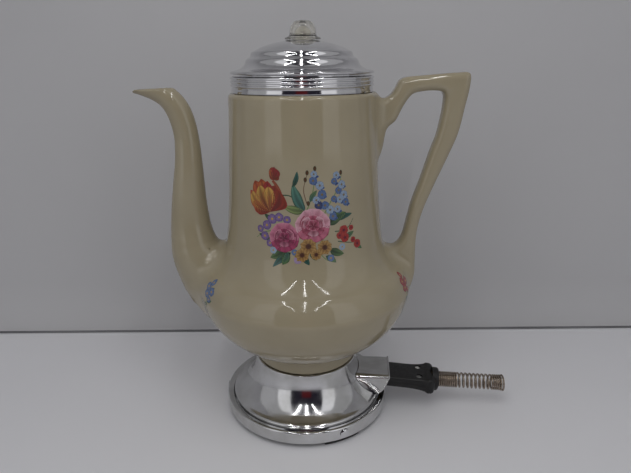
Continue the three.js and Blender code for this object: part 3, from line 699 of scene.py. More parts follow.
lid_top = ([(8.2, 286.75)] + smooth([(8.6, 286.8), (13, 286.3), (21, 284.6), (28, 282.4), (32.2, 280.4)], 8)
           + smooth([(33.6, 279.7), (34.7, 279.2), (35.4, 278.2), (35.7, 276.9), (36.3, 275.9)], 5)
           + smooth([(37.3, 275.3), (38.4, 274.6), (39.3, 273.4), (39.8, 271.8), (40.6, 270.5)], 5)
           + smooth([(41.6, 269.6), (43, 268.6), (45, 267.8), (48, 267.0), (49.7, 266.6)], 5)
           + arc(49.7, 265.6, 0.75, 80, -80, 8))
lid_under = [(49.4, 265.1), (44.6, 266.4), (41.2, 268.2), (38.6, 271.2), (37.9, 273.4), (35.4, 275.2),
             (33.8, 277.6), (27.6, 281.3), (21, 283.5), (13, 285.2), (8.2, 285.8)]
lid_cover = show("lid_cover", turned(lid_top + lid_under), 50)
slot_cutter = block(KNOB_X - 4.2, KNOB_X + 4.2, -10.7, 10.7, 280, 290)
carve(lid_cover, slot_cutter, edge=50)
show("lid_skirt", turned(soften([(43.1, 256.5), (44, 256.5), (44, 264.9), (43.1, 264.9)], 0.3)))
clip = show("knob_clip_ring", turned([(7.8, 282.2), (13.2, 282.2), (13.2, 283.9), (12.4, 283.9), (12.4, 283),
                                      (7.8, 283)], 96, (KNOB_X, 0)))
carve(clip, slot_cutter)

dome = ([(6.9, 278), (6.9, 287.3), (11.9, 287.25), (12.5, 287.6), (12.3, 288.3), (10.6, 288.9), (9.5, 289.8),
         (9.05, 291), (9.0, 292)] + smooth([(8.95, 292.8), (8.5, 295), (7.4, 297.1), (5.7, 298.7),
                                            (3.6, 299.45), (1.6, 299.6)], 5)
        + [(0, 299.6), (0, 296.6), (1.5, 296.4), (3.3, 295.6), (4.7, 294.2), (5.5, 292.2), (5.7, 289),
           (5.2, 278)])
glass_knob = show("glass_knob", turned(soften(dome[:9], 0.4, closed=False) + dome[9:], 96, (KNOB_X, 0)), 60)
for angle in (0, 180):
    lug = turn_z(block(6.2, 10.1, -3.2, 3.2, 280, 281.6), angle)
    carve(glass_knob, shift(lug, KNOB_X), "UNION", 60)

# ---------------------------------------------------------------- percolating works
show("percolator_tube", turned([(3.2, 63.5), (4.1, 63.5), (4.1, 268), (3.2, 268)], SMALL))
show("pump_bell", turned(soften([(19, 57), (19.6, 57), (19.6, 58.4), (9.6, 70.5), (6.2, 76), (6.2, 80),
                                 (4.55, 80),
                                 (4.55, 75.4), (8.6, 69.8), (18.6, 57.8)], 0.8), 96))
show("pump_seat_plate", turned([(4, 55.7), (18.2, 55.7), (18.2, 57.2), (17.2, 57.2), (17.2, 56.7), (4, 56.7)],
                               96))
show("pump_valve_disc", turned([(0, 57.05), (7.8, 57.05), (8, 57.2), (8, 57.8), (7.8, 57.95), (0, 57.95)], 96))
show("basket_stop", turned(soften([(4.5, 172.2), (7.6, 172.2), (7.6, 175.65), (4.5, 175.65)], 0.4), SMALL))
basket = show("coffee_basket", turned(soften([
    (5.1, 176), (35, 176), (38, 179), (38, 234), (39.6, 235), (39.2, 236), (37.1, 235), (37.1, 179.4),
                                              (34.6, 176.9),
    (6.4, 176.9), (6.4, 190), (5.1, 190)], 0.6), 120))
spreader = show("water_spreader", turned(soften([
    (5.1, 231), (35.4, 231), (36.2, 236.4), (39.6, 236.4), (39.6, 237.4), (35.3, 237.4), (34.6, 232), (7, 232),
    (6.2, 238), (5.1, 238)], 0.6), 120))
for sieve, radius, low in ((basket, 2, 170), (spreader, 1.8, 228)):
    for circle, count in ((14, 4), (20, 8), (27, 12)):
        for k in range(count):
            angle = 2 * math.pi * (k + 0.5) / count
            x, y = circle * math.cos(angle), circle * math.sin(angle)
            carve(sieve, bar(radius * 0.6, (x, y, low), (x, y, low + 10), 12))

# ---------------------------------------------------------------- heater
show("heater_cup", turned(soften([(0, 53.8), (20, 53.8), (20, 40), (22, 40), (22, 66), (31, 66), (31, 67.2),
                                  (20.8, 67.2), (20.8, 55.2), (0, 55.2)], 0.6, closed=False), 96))
show("inner_gasket", turned(soften([(22.9, 64.35), (30.4, 64.35), (30.4, 65.65), (22.9, 65.65)], 0.4), 96))
show("outer_gasket", turned(soften([(22.9, 55.4), (32.6, 55.4), (32.6, 57.65), (22.9, 57.65)], 0.5), 96))
clamp = show("clamp_nut", turned(soften([(22.35, 50.4), (34, 50.4), (34, 55.05), (22.35, 55.05)], 0.5), 96))
for angle in (0, 180):
    carve(clamp, turn_z(block(32, 36, -3, 3, 49, 53), angle))
show("mica_washer", turned([(22.6, 47.2), (35, 47.2), (35, 48), (22.6, 48)], 96))
show("element_core", turned(soften([(23, 33.4), (34, 33.4), (34, 35), (30.4, 35.6), (30.4, 44.2), (34, 44.8),
                                    (34, 46.6), (23, 46.6)], 0.5), 96))
COIL_TURNS = 4
coil = [(32.4 * math.cos(a), 32.4 * math.sin(a), 36.8 + 6.2 * a / (2 * math.pi * COIL_TURNS))
        for a in np.linspace(0, 2 * math.pi * COIL_TURNS, COIL_TURNS * 72)]
show("element_coil", rod(coil, 0.6, 10))
show("element_support_plate", turned([(3.5, 31.8), (31, 31.8), (31, 33), (3.5, 33)], 96))
show("tie_rod", turned([(0, 1.6), (2.7, 1.6), (3, 2), (3, 53.4), (0, 53.4)], SMALL))


def hex_nut(radius, bore, bottom, top):
    """A six-sided nut and the cutter of its bore."""
    rings = []
    for z, r in ((bottom, radius * 0.94), (bottom + 0.35, radius), (top - 0.35, radius), (top, radius * 0.94)):
        rings.append([(r * math.cos(a), r * math.sin(a), z) for a in np.radians(np.arange(0, 360, 60))])
    return lofted(rings), bar(bore, (0, 0, bottom - 1), (0, 0, top + 1))


for node, size in (("support_nut", (6, 3.5, 28.4, 31.4)), ("tie_nut", (6.4, 3.5, 3.6, 7.2))):
    outside, bore = hex_nut(*size)
    carve(show(node, outside), bore)

# ---------------------------------------------------------------- pedestal
SHELL_R = 60.8
flare = smooth([(59.9, 15.7), (56.6, 17), (51.6, 20.2), (47.2, 25), (44.2, 30.5), (42.2, 36.5), (41.1, 42),
                (40.9, 44.6)], 10)
shell_outside = ([(SHELL_R, 11.5), (SHELL_R, 14.2)] + arc(SHELL_R - 0.8, 14.6, 0.8, 0, 70, 6) + flare
                 + arc(40.2, 44.9, 0.7, 0, 90, 5))
shell_under = [(36, 45.6), (36, 44.7), (39.9, 44.3)] + [(r - 0.9, z - 0.4) for r, z in flare[::-1]] + [
    (SHELL_R - 0.95, 14.4), (SHELL_R - 0.9, 11.5)]
BASE_TURN = -5
base_shell = show("base_shell", turned(shell_outside + shell_under), 50, base_chrome)
carve(base_shell, turn_z(block(40, 60, -10.6, 10.6, 21, 31), BASE_TURN), edge=50)
rim_profile = ([(65.3, 4.1), (65.7, 3.95), (66.15, 4.2), (66.2, 5)] + [(66.2, 12.4)]
               + arc(65.0, 12.5, 1.2, 10, 90, 7)
               + [(64, 13.6), (61.5, 12.9), (61.3, 12.3), (61.5, 12.0), (64.5, 12.4),
                                                    (65.3, 11.7)])
rim_band = show("base_rim_band", turned(rim_profile), 50, base_chrome)
FOOT_ANGLES = (-64, 56, 176)
RIVET_Z = 8.6
for angle in FOOT_ANGLES:
    carve(rim_band, turn_z(bar(2, (60, 0, RIVET_Z), (70, 0, RIVET_Z)), angle), edge=50)
plate = show("bottom_plate", turned([(3.5, 7.6), (56, 7.6), (56, 9.6), (59.6, 9.6), (59.6, 10.5), (55.1, 10.5),
                                     (55.1, 8.5), (3.5, 8.5)], 120))
for angle in FOOT_ANGLES:
    carve(plate, turn_z(block(50, 66, -17, 17, 6, 12), angle))


def arched(section, half_angle, steps=16):
    """A section in the profile plane, swept round Z through twice that angle."""
    rings = [[(r * math.cos(a), r * math.sin(a), z) for r, z in section]
             for a in np.radians(np.linspace(-half_angle, half_angle, steps + 1))]
    return lofted(rings)


for i, angle in enumerate(FOOT_ANGLES, 1):
    section = soften([(53.9, 0.02), (64.1, 0.02), (64.1, 11), (53.9, 11)], 1.1, 4)
    foot = show(f"foot_{i}", turn_z(arched(section, 13), angle), 60)
    carve(foot, turn_z(bar(2, (50, 0, RIVET_Z), (70, 0, RIVET_Z)), angle), edge=60)
    head = [(0, 52), (1.7, 52), (1.7, 66.6), (3.5, 66.6), (3.6, 66.75), (3.2, 67.2), (2.2, 67.5), (0, 67.62)]
    show(f"foot_rivet_{i}", turn_z(shift(lie_along_x(turned(head, 40)), z=RIVET_Z), angle), 50)

# ---------------------------------------------------------------- terminal shroud
SHROUD = {"top": 32.3, "half": 16.0, "corner": 3.0, "end": 68.4}
shroud_end = smooth([(60.2, 16.5), (61.8, 17.5), (63.8, 20), (65.7, 23.4), (67.1, 27.2), (68.1, 30.4)], 6)


def arch(half, top, corner, bottom, steps=8):
    """Left foot, over the top, right foot."""
    return ([(-half, bottom)] + arc(-half + corner, top - corner, corner, 180, 90, steps)
            + arc(half - corner, top - corner, corner, 90, 0, steps) + [(half, bottom)])


SHEET = 1.0  # thickness of the shroud's metal
outer_arch = arch(SHROUD["half"], SHROUD["top"], SHROUD["corner"], 10)
inner_arch = arch(SHROUD["half"] - SHEET, SHROUD["top"] - SHEET, SHROUD["corner"] - SHEET, 10)
wall = outer_arch + inner_arch[::-1]
shroud = show("terminal_shroud", turn_z(lofted([[(x, y, z) for y, z in wall] for x in (36, SHROUD["end"])]),
                                        BASE_TURN), 40, base_chrome)
wedge = [(60.2, 16.5), (30, 16.5), (30, 4), (80, 4), (80, 30.4)] + shroud_end[::-1][:-1]
carve(shroud, turn_z(lofted([[(x, y, z) for x, z in wedge] for y in (-22, 22)]), BASE_TURN), edge=40)
SHELL_GAP = 0.35  # between the shroud and the base shell
carve(shroud, turned([(0, 5), (SHELL_R + SHELL_GAP, 5)] + [(r + SHELL_GAP, z) for r, z in shell_outside[1:]]
                     + [(0, 45.6)]), edge=40)
edge_path = [(x - 0.3, -SHROUD["half"] + 0.4, z) for x, z in shroud_end[1:]]
top_path = [(SHROUD["end"] - 0.2, y, z + 0.15) for y, z in
            arc(-SHROUD["half"] + SHROUD["corner"], SHROUD["top"] - SHROUD["corner"], SHROUD["corner"], 180, 90,
                6)]
rolled = edge_path + top_path
rolled += [(x, -y, z) for x, y, z in rolled[::-1]]
piece("terminal_shroud_rim", *turn_z(rod(rolled, 0.72, 12), BASE_TURN), base_chrome, bodies["terminal_shroud"],
      slots["terminal_shroud"], ["terminal_shroud"], 40)

# ---------------------------------------------------------------- terminals and plug
PLUG_X, PLUG_Z, DROOP = 69.8, 24.8, 4.6


def on_plug(part):
    """From the plug's own place to the part's frame."""
    d = math.radians(DROOP)
    points = [(x * math.cos(d) + z * math.sin(d) + PLUG_X, y, -x * math.sin(d) + z * math.cos(d) + PLUG_Z)
              for x, y, z in part[0]]
    return turn_z((points, part[1]), BASE_TURN)


def rounded(width, height, corner, steps=5):
    """An outline with rounded corners."""
    w, h = width / 2 - corner, height / 2 - corner
    return (arc(w, h, corner, 0, 90, steps) + arc(-w, h, corner, 90, 180, steps)
            + arc(-w, -h, corner, 180, 270, steps) + arc(w, -h, corner, 270, 360, steps))


SIDES = (("left", 6.35), ("right", -6.35))
terminal_block = show("terminal_block", on_plug(lofted([[(x, y, z) for y, z in rounded(w, h, 2)] for x, w, h in
                      ((-35.3, 22.4, 9.4), (-34.9, 23, 10), (-30.7, 23, 10), (-30.3, 22.4, 9.4))])))
for side, y in SIDES:
    carve(terminal_block, on_plug(bar(2.73, (-40, y, 0), (-20, y, 0))))
    pin = [(0, -40.5), (2.38, -40.5), (2.38, -3.2)] + [(r, z) for r, z in arc(0, -3.2, 2.38, 10, 90, 6)]
    pin[-1] = (0, -0.82)
    show(f"terminal_pin_{side}", on_plug(shift(lie_along_x(turned(pin, 40)), y=y)))
    outside, bore = hex_nut(3.6, 2.73, -38.6, -35.8)
    nut = show(f"terminal_nut_{side}", on_plug(shift(lie_along_x(outside), y=y)))
    carve(nut, on_plug(shift(lie_along_x(bore), y=y)))
    towards = math.copysign(1, y)
    route = [(35.4, 13.5 * towards, 38.6), (36, 14.6 * towards, 32), (30, 15 * towards, 27.5),
             (25, 11.5 * towards, 26.6), (27.2, y, 27.8)]
    p = np.array(route)
    path = np.stack([np.interp(np.linspace(0, 1, 40), np.linspace(0, 1, len(smooth(p[:, [0, 1]]))),
                               np.array(smooth(p[:, pair]))[:, k]) for pair, k in
                     (([0, 1], 0), ([0, 1], 1), ([1, 2], 1))], 1)
    show(f"lead_wire_{side}", turn_z(rod(path.tolist(), 0.8, 10), BASE_TURN))

plug_stations = [(-10.8, 23.4, 8.2, 1.4), (-10.3, 24.2, 9.0, 1.6), (6, 24.2, 9.0, 1.6), (12, 24.2, 9.0, 1.6),
                 (18, 24.4, 9.3, 1.8), (24, 25.4, 10.3, 2.0), (28.3, 26.8, 11.6, 2.3), (29.4, 28.4, 12.6, 2.5),
                 (30.4, 29.2, 13.2, 2.6), (33.2, 29.0, 13.0, 2.6), (34.6, 27.6, 12.2, 2.6),
                 (35.3, 25.4, 11.2, 2.6),
                 (35.6, 21.2, 10.4, 2.6)]

SPLIT = 0.12  # half the gap between the plug's halves


def plug_half(upper):
    """One half of the plug's body, along X."""
    rings = []
    for x, width, height, corner in plug_stations:
        rings.append([(x, y, max(z, SPLIT) if upper else min(z, -SPLIT))
                      for y, z in rounded(width, height, corner)])
    return lofted(rings)


hub_steps = [(34, 9.3), (37.9, 9.3), (38.7, 9.0), (39.3, 8.2)]
plug_screws = (("left", 6.8), ("right", -6.8))
for upper, node in ((True, "plug_upper_half"), (False, "plug_lower_half")):
    half = show(node, on_plug(plug_half(upper)), 30)
    sign = 1 if upper else -1
    angles = np.radians(np.linspace(0, 180, 33)) * sign
    hub = lofted([[(x, r * math.cos(a), r * math.sin(a) + SPLIT * sign) for a in angles] for x, r in hub_steps])
    carve(half, on_plug(hub), "UNION", 30)
    for side, y in SIDES:
        carve(half, on_plug(bar(3.7, (-16, y, 0), (9, y, 0))), edge=30)
    for tool in (block(8, 19.6, -8.7, 8.7, -3.4, 3.4), bar(4, (18, 0, 0), (34, 0, 0)),
                 bar(7, (32.6, 0, 0), (50, 0, 0))):
        carve(half, on_plug(tool), edge=30)
    for side, y in plug_screws:
        carve(half, on_plug(bar(1.75, (23, y, -12), (23, y, 12))), edge=30)
        ends = ((23, y, 3.5), (23, y, 12)) if upper else ((23, y, -12), (23, y, -3.4))
        carve(half, on_plug(bar(2.6 if upper else 2.8, *ends)), edge=30)

for side, y in SIDES:
    sleeve = show(f"contact_{side}", on_plug(bar(3.35, (-9.8, y, 0), (6, y, 0), 40)))
    carve(sleeve, on_plug(bar(2.63, (-15, y, 0), (8, y, 0), 40)))
    carve(sleeve, on_plug(block(-20, 10, y - 0.5, y + 0.5, 0, 5)))
    carve(sleeve, on_plug(block(3, 17, y - 1.6, y + 1.6, -3.05, -2.1)), "UNION")
    show(f"contact_screw_{side}", on_plug(shift(turned([(0, -1.75), (1.9, -1.75), (1.9, -0.3), (1.4, 0.2),
                                                        (0, 0.2)], 32),
                                                14, y)))
# A lighter copy of the steel, a painted highlight, used only on the far (left) screw so it shows brighter than
# the near screw, which keeps its plain finish.
highlit_screw_steel = plain("screw_painted_highlight", [(0.3, (0.62, 0.61, 0.58)), (0.7, (0.80, 0.79, 0.76))], (0.2, 0.32), 1.0,
                     scale=300, bump=0.1)[0]
for side, y in plug_screws:
    screw = [(0, -4.8), (1.4, -4.8), (1.4, 3.85), (2.3, 3.85), (2.3, 4.3), (1.7, 4.75), (0, 4.9)]
    # The far screw gets the lighter steel (painted highlight); the near one stays darker.
    obj = show(f"plug_screw_{side}", on_plug(shift(turned(screw, 40), 23, y)), 40,
               highlit_screw_steel if side == "left" else None)
    carve(obj, on_plug(block(20, 26, y - 0.3, y + 0.3, 4.4, 6)), edge=40)
    outside, bore = hex_nut(2.5, 1.75, -4.9, -3.75)
    nut = show(f"plug_nut_{side}", on_plug(shift(outside, 23, y)))
    carve(nut, on_plug(shift(bore, 23, y)))

GUARD = {"wire": 0.72, "r": 5.6, "flare": 6.2, "start": 34.2, "close": 12, "open": 8.5, "last": 5.5,
         "tight": 1.74, "pitch": 3.3, "lift": 3.2}
turns = GUARD["close"] + GUARD["open"] + GUARD["last"]
spring = []
for n in np.linspace(0, turns, int(turns * 36)):
    open_turns = min(max(n - GUARD["close"], 0), GUARD["open"])
    along = (n - open_turns) * GUARD["tight"] + open_turns * GUARD["pitch"]
    r = GUARD["r"] + (GUARD["flare"] - GUARD["r"]) * max(0, (n - turns + 2) / 2)
    lift = math.radians(GUARD["lift"])
    z = r * math.sin(2 * math.pi * n)
    spring.append((GUARD["start"] + along * math.cos(lift) - z * math.sin(lift), r * math.cos(2 * math.pi * n),
                   along * math.sin(lift) + z * math.cos(lift)))
show("cord_guard_spring", on_plug(rod(spring, GUARD["wire"], 12)), 60)


# ---------------------------------------------------------------- flower sprays, painted on the glaze
china_r, china_z = np.array([r for r, _ in china_outside]), np.array([z for _, z in china_outside])
PAINT_LIFT = 0.035  # one coat of colour on the next
rng = random.Random(11)


def linear(colour):
    """Fired colours are softer than fresh ones."""
    grey = sum(colour) / 3
    colour = [0.86 * (c + (grey - c) * 0.16) + 0.02 for c in colour]
    return tuple(c / 12.92 if c <= 0.04045 else ((c + 0.055) / 1.055) ** 2.4 for c in colour)


def mixed(a, b, t):
    """The colour that share of the way from a to b."""
    return tuple(p + (q - p) * t for p, q in zip(a, b))


class Spray:
    """A spray of flowers round an azimuth of the pot. Shapes are drawn flat: u to the right, z up."""

    def __init__(self, name, azimuth, mirror=1):
        self.name, self.azimuth, self.mirror = name, azimuth, mirror
        self.points, self.faces, self.colours = [], [], []

    def place(self, u, z, coat):
        """Where a drawn point lies on the glaze, so many coats up."""
        slope = (np.interp(z + 1, china_z, china_r) - np.interp(z - 1, china_z, china_r)) / 2
        lift = (0.03 + PAINT_LIFT * coat) / math.sqrt(1 + slope * slope)
        r = np.interp(z, china_z, china_r)
        angle = math.radians(self.azimuth) + self.mirror * u / 57.5
        return ((r + lift) * math.cos(angle), (r + lift) * math.sin(angle), z - lift * slope)

    def patch(self, rows, shades, coat):
        """A grid of drawn points (rows of the same length) with a colour for each point."""
        start, wide = len(self.points), len(rows[0])
        for row, shade in zip(rows, shades):
            self.points += [self.place(u, z, coat) for u, z in row]
            self.colours += [linear(c) for c in shade]
        for i in range(len(rows) - 1):
            for k in range(wide - 1):
                a = start + i * wide + k
                face = [a, a + 1, a + wide + 1, a + wide]
                self.faces.append(face if self.mirror > 0 else face[::-1])

    def petal(self, base, tip, width, inner, outer, coat, vein=0.25, skew=0.0, blunt=0.9, rim=None):
        """A petal or a leaf from its base to its tip."""
        (x0, y0), (x1, y1) = base, tip
        length = math.hypot(x1 - x0, y1 - y0)
        ux, uy = (x1 - x0) / length, (y1 - y0) / length
        rows, shades = [], []
        along = max(6, int(length / 1.3))
        for i in range(along + 1):
            t = i / along
            half = width / 2 * (math.sin(math.pi * t ** blunt) ** 0.75 if 0 < t < 1 else 0.02)
            wobble = skew * math.sin(math.pi * t)
            row, shade = [], []
            for k in range(9):
                s = (k - 4) / 4
                across = s * half * (1 + 0.07 * math.sin(9 * t + 5 * s + x0)) + wobble
                row.append((x0 + ux * length * t - uy * across, y0 + uy * length * t + ux * across))
                colour = mixed(inner, outer, min(1, t * 0.75 + abs(s) * 0.45))
                if k % 2:
                    colour = mixed(colour, (0.16, 0.08, 0.08), vein * (1 - t) * 0.8)
                if k == 4:
                    colour = mixed(colour, (0.1, 0.1, 0.06), vein * 0.5)
                if rim and (abs(s) > 0.9 or t > 0.93):
                    colour = mixed(colour, rim, 0.8)
                shade.append(colour)
            rows.append(row)
            shades.append(shade)
        self.patch(rows, shades, coat)

    def twig(self, path, width, colour, coat=1):
        """A thin stem."""
        line = smooth(path, 5)
        rows, shades = [], []
        for i, (u, z) in enumerate(line):
            (a, b), (c, d) = line[max(i - 1, 0)], line[min(i + 1, len(line) - 1)]
            n = math.hypot(c - a, d - b) or 1
            half = width / 2 * (1 - 0.5 * i / len(line))
            rows.append([(u - (d - b) / n * s * half, z + (c - a) / n * s * half) for s in (-1, 0, 1)])
            shades.append([colour, mixed(colour, (1, 1, 0.8), 0.15), colour])
        self.patch(rows, shades, coat)

    def blot(self, u, z, radius, centre, edge, coat, squash=1.0, lobes=0, depth=0.0):
        """A round or lobed dab of colour."""
        rows, shades = [], []
        around = 20
        for i in range(4):
            ring, shade = [], []
            for k in range(around + 1):
                a = 2 * math.pi * k / around
                r = radius * (0.02, 0.4, 0.75, 1)[i] * (1 + depth * math.cos(lobes * a))
                ring.append((u + r * math.cos(a), z + r * squash * math.sin(a)))
                shade.append(mixed(centre, edge, (0, 0.25, 0.65, 1)[i]))
            rows.append(ring)
            shades.append(shade)
        self.patch(rows[::-1], shades[::-1], coat)

    def floret(self, u, z, radius, petals, inner, outer, eye, coat, turn=0.0, rim=None):
        """A small open flower."""
        for k in range(petals):
            a = turn + 2 * math.pi * k / petals
            tip = (u + radius * math.cos(a), z + radius * math.sin(a))
            self.petal((u, z), tip, radius * 2.1 * math.sin(math.pi / petals) * 0.98, inner, outer, coat
                       + 0.1 * (k % 2),
                       blunt=1.25, rim=rim)
        self.blot(u, z, radius * 0.25, eye, mixed(eye, (0.2, 0.1, 0.05), 0.3), coat + 1)

    def rose(self, u, z, size, dark, mid, light, coat):
        """A full rose: an outer round of petals, an inner cup and the curled heart."""
        for k in range(7):
            a = 0.3 + 2 * math.pi * k / 7
            base = (u + 0.18 * size * math.cos(a), z + 0.18 * size * math.sin(a))
            tip = (u + 0.52 * size * math.cos(a), z + 0.50 * size * math.sin(a))
            self.petal(base, tip, size * 0.48, mid, light if math.sin(a) > -0.2 else mid, coat + 0.1 * (k % 2),
                       vein=0.3, blunt=1.7, rim=dark if math.sin(a) < -0.5 else None)
        for k in range(6):
            a = -0.5 + 2 * math.pi * k / 6
            base = (u + 0.02 * size * math.cos(a), z - 0.03 * size + 0.02 * size * math.sin(a))
            tip = (u + 0.36 * size * math.cos(a), z + 0.33 * size * math.sin(a))
            self.petal(base, tip, size * 0.36, dark, light if k % 2 else mid, coat + 1 + 0.1 * (k % 2),
                       vein=0.4,
                       blunt=1.6, rim=light if math.sin(a) > 0 else dark)
        for k in range(5):
            a = 0.8 + 2 * math.pi * k / 5
            tip = (u + 0.20 * size * math.cos(a), z + 0.02 * size + 0.17 * size * math.sin(a))
            self.petal((u, z - 0.02 * size), tip, size * 0.2, dark, mid, coat + 2 + 0.1 * (k % 2), vein=0.5,
                       blunt=1.5,
                       rim=light if k % 2 else None)
        for k in range(9):
            a = rng.uniform(0, 2 * math.pi)
            r = size * rng.uniform(0.12, 0.42)
            curl = [(u + r * math.cos(a + s), z + r * math.sin(a + s)) for s in (-0.5, -0.2, 0.1, 0.4)]
            self.twig(curl, size * 0.035, mixed(dark, mid, 0.3), coat + 3)

    def done(self):
        """Makes the mesh of all that was drawn."""
        mesh = bpy.data.meshes.new(self.name)
        mesh.from_pydata((np.array(self.points) * MM).tolist(), [], self.faces)
        paint = mesh.color_attributes.new("paint", "FLOAT_COLOR", "POINT")
        paint.data.foreach_set("color", np.c_[np.array(self.colours), np.ones(len(self.colours))].ravel())
        mesh.materials.append(flower_paint)
        mesh.shade_smooth()
        obj = bpy.data.objects.new(self.name, mesh)
        bpy.context.scene.collection.objects.link(obj)
        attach(obj, bodies["china_body"])


flower_paint = fired_paint()
ORANGE, DEEP_ORANGE = (0.88, 0.42, 0.16), (0.62, 0.20, 0.08)
YELLOW, RED = (0.93, 0.74, 0.28), (0.72, 0.13, 0.13)
GREEN, DARK_GREEN, BLUE_GREEN = (0.42, 0.56, 0.30), (0.15, 0.30, 0.20), (0.22, 0.47, 0.45)
SKY, BLUE, NAVY = (0.60, 0.72, 0.86), (0.30, 0.44, 0.70), (0.16, 0.22, 0.46)
CRIMSON = (0.55, 0.08, 0.20)
MAGENTA, PLUM = (0.76, 0.22, 0.42), (0.45, 0.08, 0.22)
LILAC, PURPLE = (0.70, 0.58, 0.80), (0.42, 0.30, 0.60)
BROWN = (0.42, 0.24, 0.14)


def bouquet(name, azimuth, mirror=1):
    """The large spray."""
    s = Spray(name, azimuth, mirror)
    # stems and twigs
    s.twig([(-17, 189), (-12, 190.3), (-7, 189.2), (-3, 184)], 1.0, DARK_GREEN, 0)
    s.twig([(2, 178), (6, 188), (8, 197), (8, 204)], 0.8, GREEN, 0)
    s.twig([(14, 176), (20, 186), (26, 195), (28, 203)], 0.8, GREEN, 0)
    s.twig([(22, 165), (28, 165), (33, 167), (37, 172)], 0.7, DARK_GREEN, 0)
    s.twig([(24, 158), (32, 156), (38, 155)], 0.7, DARK_GREEN, 0)
    s.twig([(-22, 166), (-28, 164), (-33, 160)], 0.7, GREEN, 0)
    s.twig([(3, 185), (1, 194), (3.5, 204)], 0.6, BROWN, 0)
    s.twig([(12, 150), (16, 146), (22, 144)], 0.6, GREEN, 0)
    # leaves
    for base, tip, width, inner, outer, skew in (
            ((1.3, 180), (-6.3, 198), 7.0, BLUE_GREEN, (0.36, 0.60, 0.50), 1.4),
            ((-6.0, 196), (-3.2, 206), 3.4, DARK_GREEN, BLUE_GREEN, -0.6),
            ((1.2, 180), (-13, 183), 5.6, GREEN, (0.62, 0.70, 0.38), 0.8),
            ((17, 170.5), (31, 177), 7.6, DARK_GREEN, GREEN, 0.9),
            ((24, 173), (36, 175.6), 3.8, DARK_GREEN, BLUE_GREEN, 0.3),
            ((5, 186), (10, 193.5), 3.4, BLUE_GREEN, GREEN, 0.4),
            ((29, 160), (37, 163), 3.6, BLUE_GREEN, GREEN, -0.4),
            ((37, 154), (43.5, 149.5), 3.4, BLUE_GREEN, GREEN, 0.4),
            ((5, 152), (8.5, 146.5), 4.2, BLUE_GREEN, GREEN, 0.4),
            ((1, 150), (4, 143.5), 3.8, DARK_GREEN, BLUE_GREEN, -0.4),
            ((15, 149), (22, 143.8), 4.2, BLUE_GREEN, GREEN, 0.5),
            ((18, 153), (28, 149), 5.4, DARK_GREEN, GREEN, -0.6),
            ((-12, 154), (-22, 147.5), 6.0, DARK_GREEN, GREEN, 0.9),
            ((-10, 152), (-13.5, 143.5), 5.6, BLUE_GREEN, GREEN, 0.5),
            ((-8, 152), (-20, 141.5), 4.8, DARK_GREEN, BLUE_GREEN, -0.8),
            ((-22, 160), (-31, 163), 3.6, GREEN, DARK_GREEN, 0.4),
            ((-18, 172), (-27, 177), 3.8, GREEN, DARK_GREEN, 0.5)):
        s.petal(base, tip, width, inner, outer, 1, vein=0.5, skew=skew, blunt=0.8, rim=DARK_GREEN)
    # the tulip and its bud
    s.twig([(-16.5, 186), (-15.2, 191), (-17.5, 196), (-20.5, 199.5)], 3.2, DEEP_ORANGE, 1)
    for tip, width, inner, outer, skew in (((-35, 198.4), 10, RED, ORANGE, 0.5),
                                           ((-29.5, 200), 10, DEEP_ORANGE, ORANGE, 0),
                                           ((-24.5, 199), 9, DEEP_ORANGE, RED, 0),
                                           ((-18.6, 196.5), 9, RED, DEEP_ORANGE, -1)):
        s.petal((-24.5, 180.5), tip, width, inner, outer, 2, vein=0.6, skew=skew, blunt=1.5, rim=DEEP_ORANGE)
    for tip, width, inner, outer, skew in (((-39, 191.5), 9, ORANGE, YELLOW, 2.4),
                                           ((-36.5, 184.5), 8, DEEP_ORANGE, ORANGE, 1.6),
                                           ((-16.2, 193.5), 12, RED, DEEP_ORANGE, -3.4),
                                           ((-31, 195.8), 11, DEEP_ORANGE, YELLOW, 1.6),
                                           ((-24, 195.5), 10, ORANGE, YELLOW, -0.6),
                                           ((-35, 179.6), 5, RED, DEEP_ORANGE, 0.8)):
        s.petal((-22.5, 178.6), tip, width, inner, outer, 3, vein=0.7, skew=skew, blunt=1.35, rim=RED)
    s.blot(-19.4, 204, 4.1, RED, DEEP_ORANGE, 2, squash=1.0, lobes=3, depth=0.10)
    for tip, colour in (((-22.6, 206.8), ORANGE), ((-16.2, 206.4), RED), ((-15.6, 202.2), DEEP_ORANGE),
                        ((-19.2, 208.6), RED)):
        s.petal((-19.8, 200.2), tip, 3.6, DEEP_ORANGE, colour, 3, vein=0.6, blunt=1.3, rim=PLUM)
    # larkspur spikes
    for u, z, r, colour in ((8, 204, 2.6, SKY), (7.5, 199.8, 3.2, BLUE), (12, 196.5, 3.3, SKY),
                            (13.5, 190.5, 3.6, BLUE),
                            (9.5, 187, 3.0, SKY), (11, 183.6, 3.3, NAVY), (15.5, 183.2, 3.3, BLUE),
                            (19, 180, 3.4, SKY),
                            (24, 202.5, 2.8, SKY), (22.3, 198.6, 2.6, BLUE), (28, 196, 3.2, SKY),
                            (25.6, 192.4, 3.0, BLUE),
                            (29.5, 189, 3.4, SKY), (31, 184, 3.0, BLUE), (26.4, 186.2, 2.8, SKY),
                            (22, 187, 2.6, BLUE),
                            (21, 175.5, 3.2, BLUE), (24.5, 180, 2.8, SKY)):
        s.blot(u + 1.8, z - 1.6, 1.3, NAVY, BLUE, 1.5, lobes=3, depth=0.3)
        s.floret(u, z, r * 0.9, 5, mixed(colour, (1, 1, 1), 0.2), colour, (0.60, 0.52, 0.30), 2, turn=u,
                 rim=mixed(colour, NAVY, 0.6))
    for u, z in ((3.5, 205), (2.2, 200.5), (4, 185), (8.8, 207.6), (27.5, 204)):
        s.blot(u, z, 1.1, BROWN, mixed(BROWN, DARK_GREEN, 0.5), 2, squash=1.5)
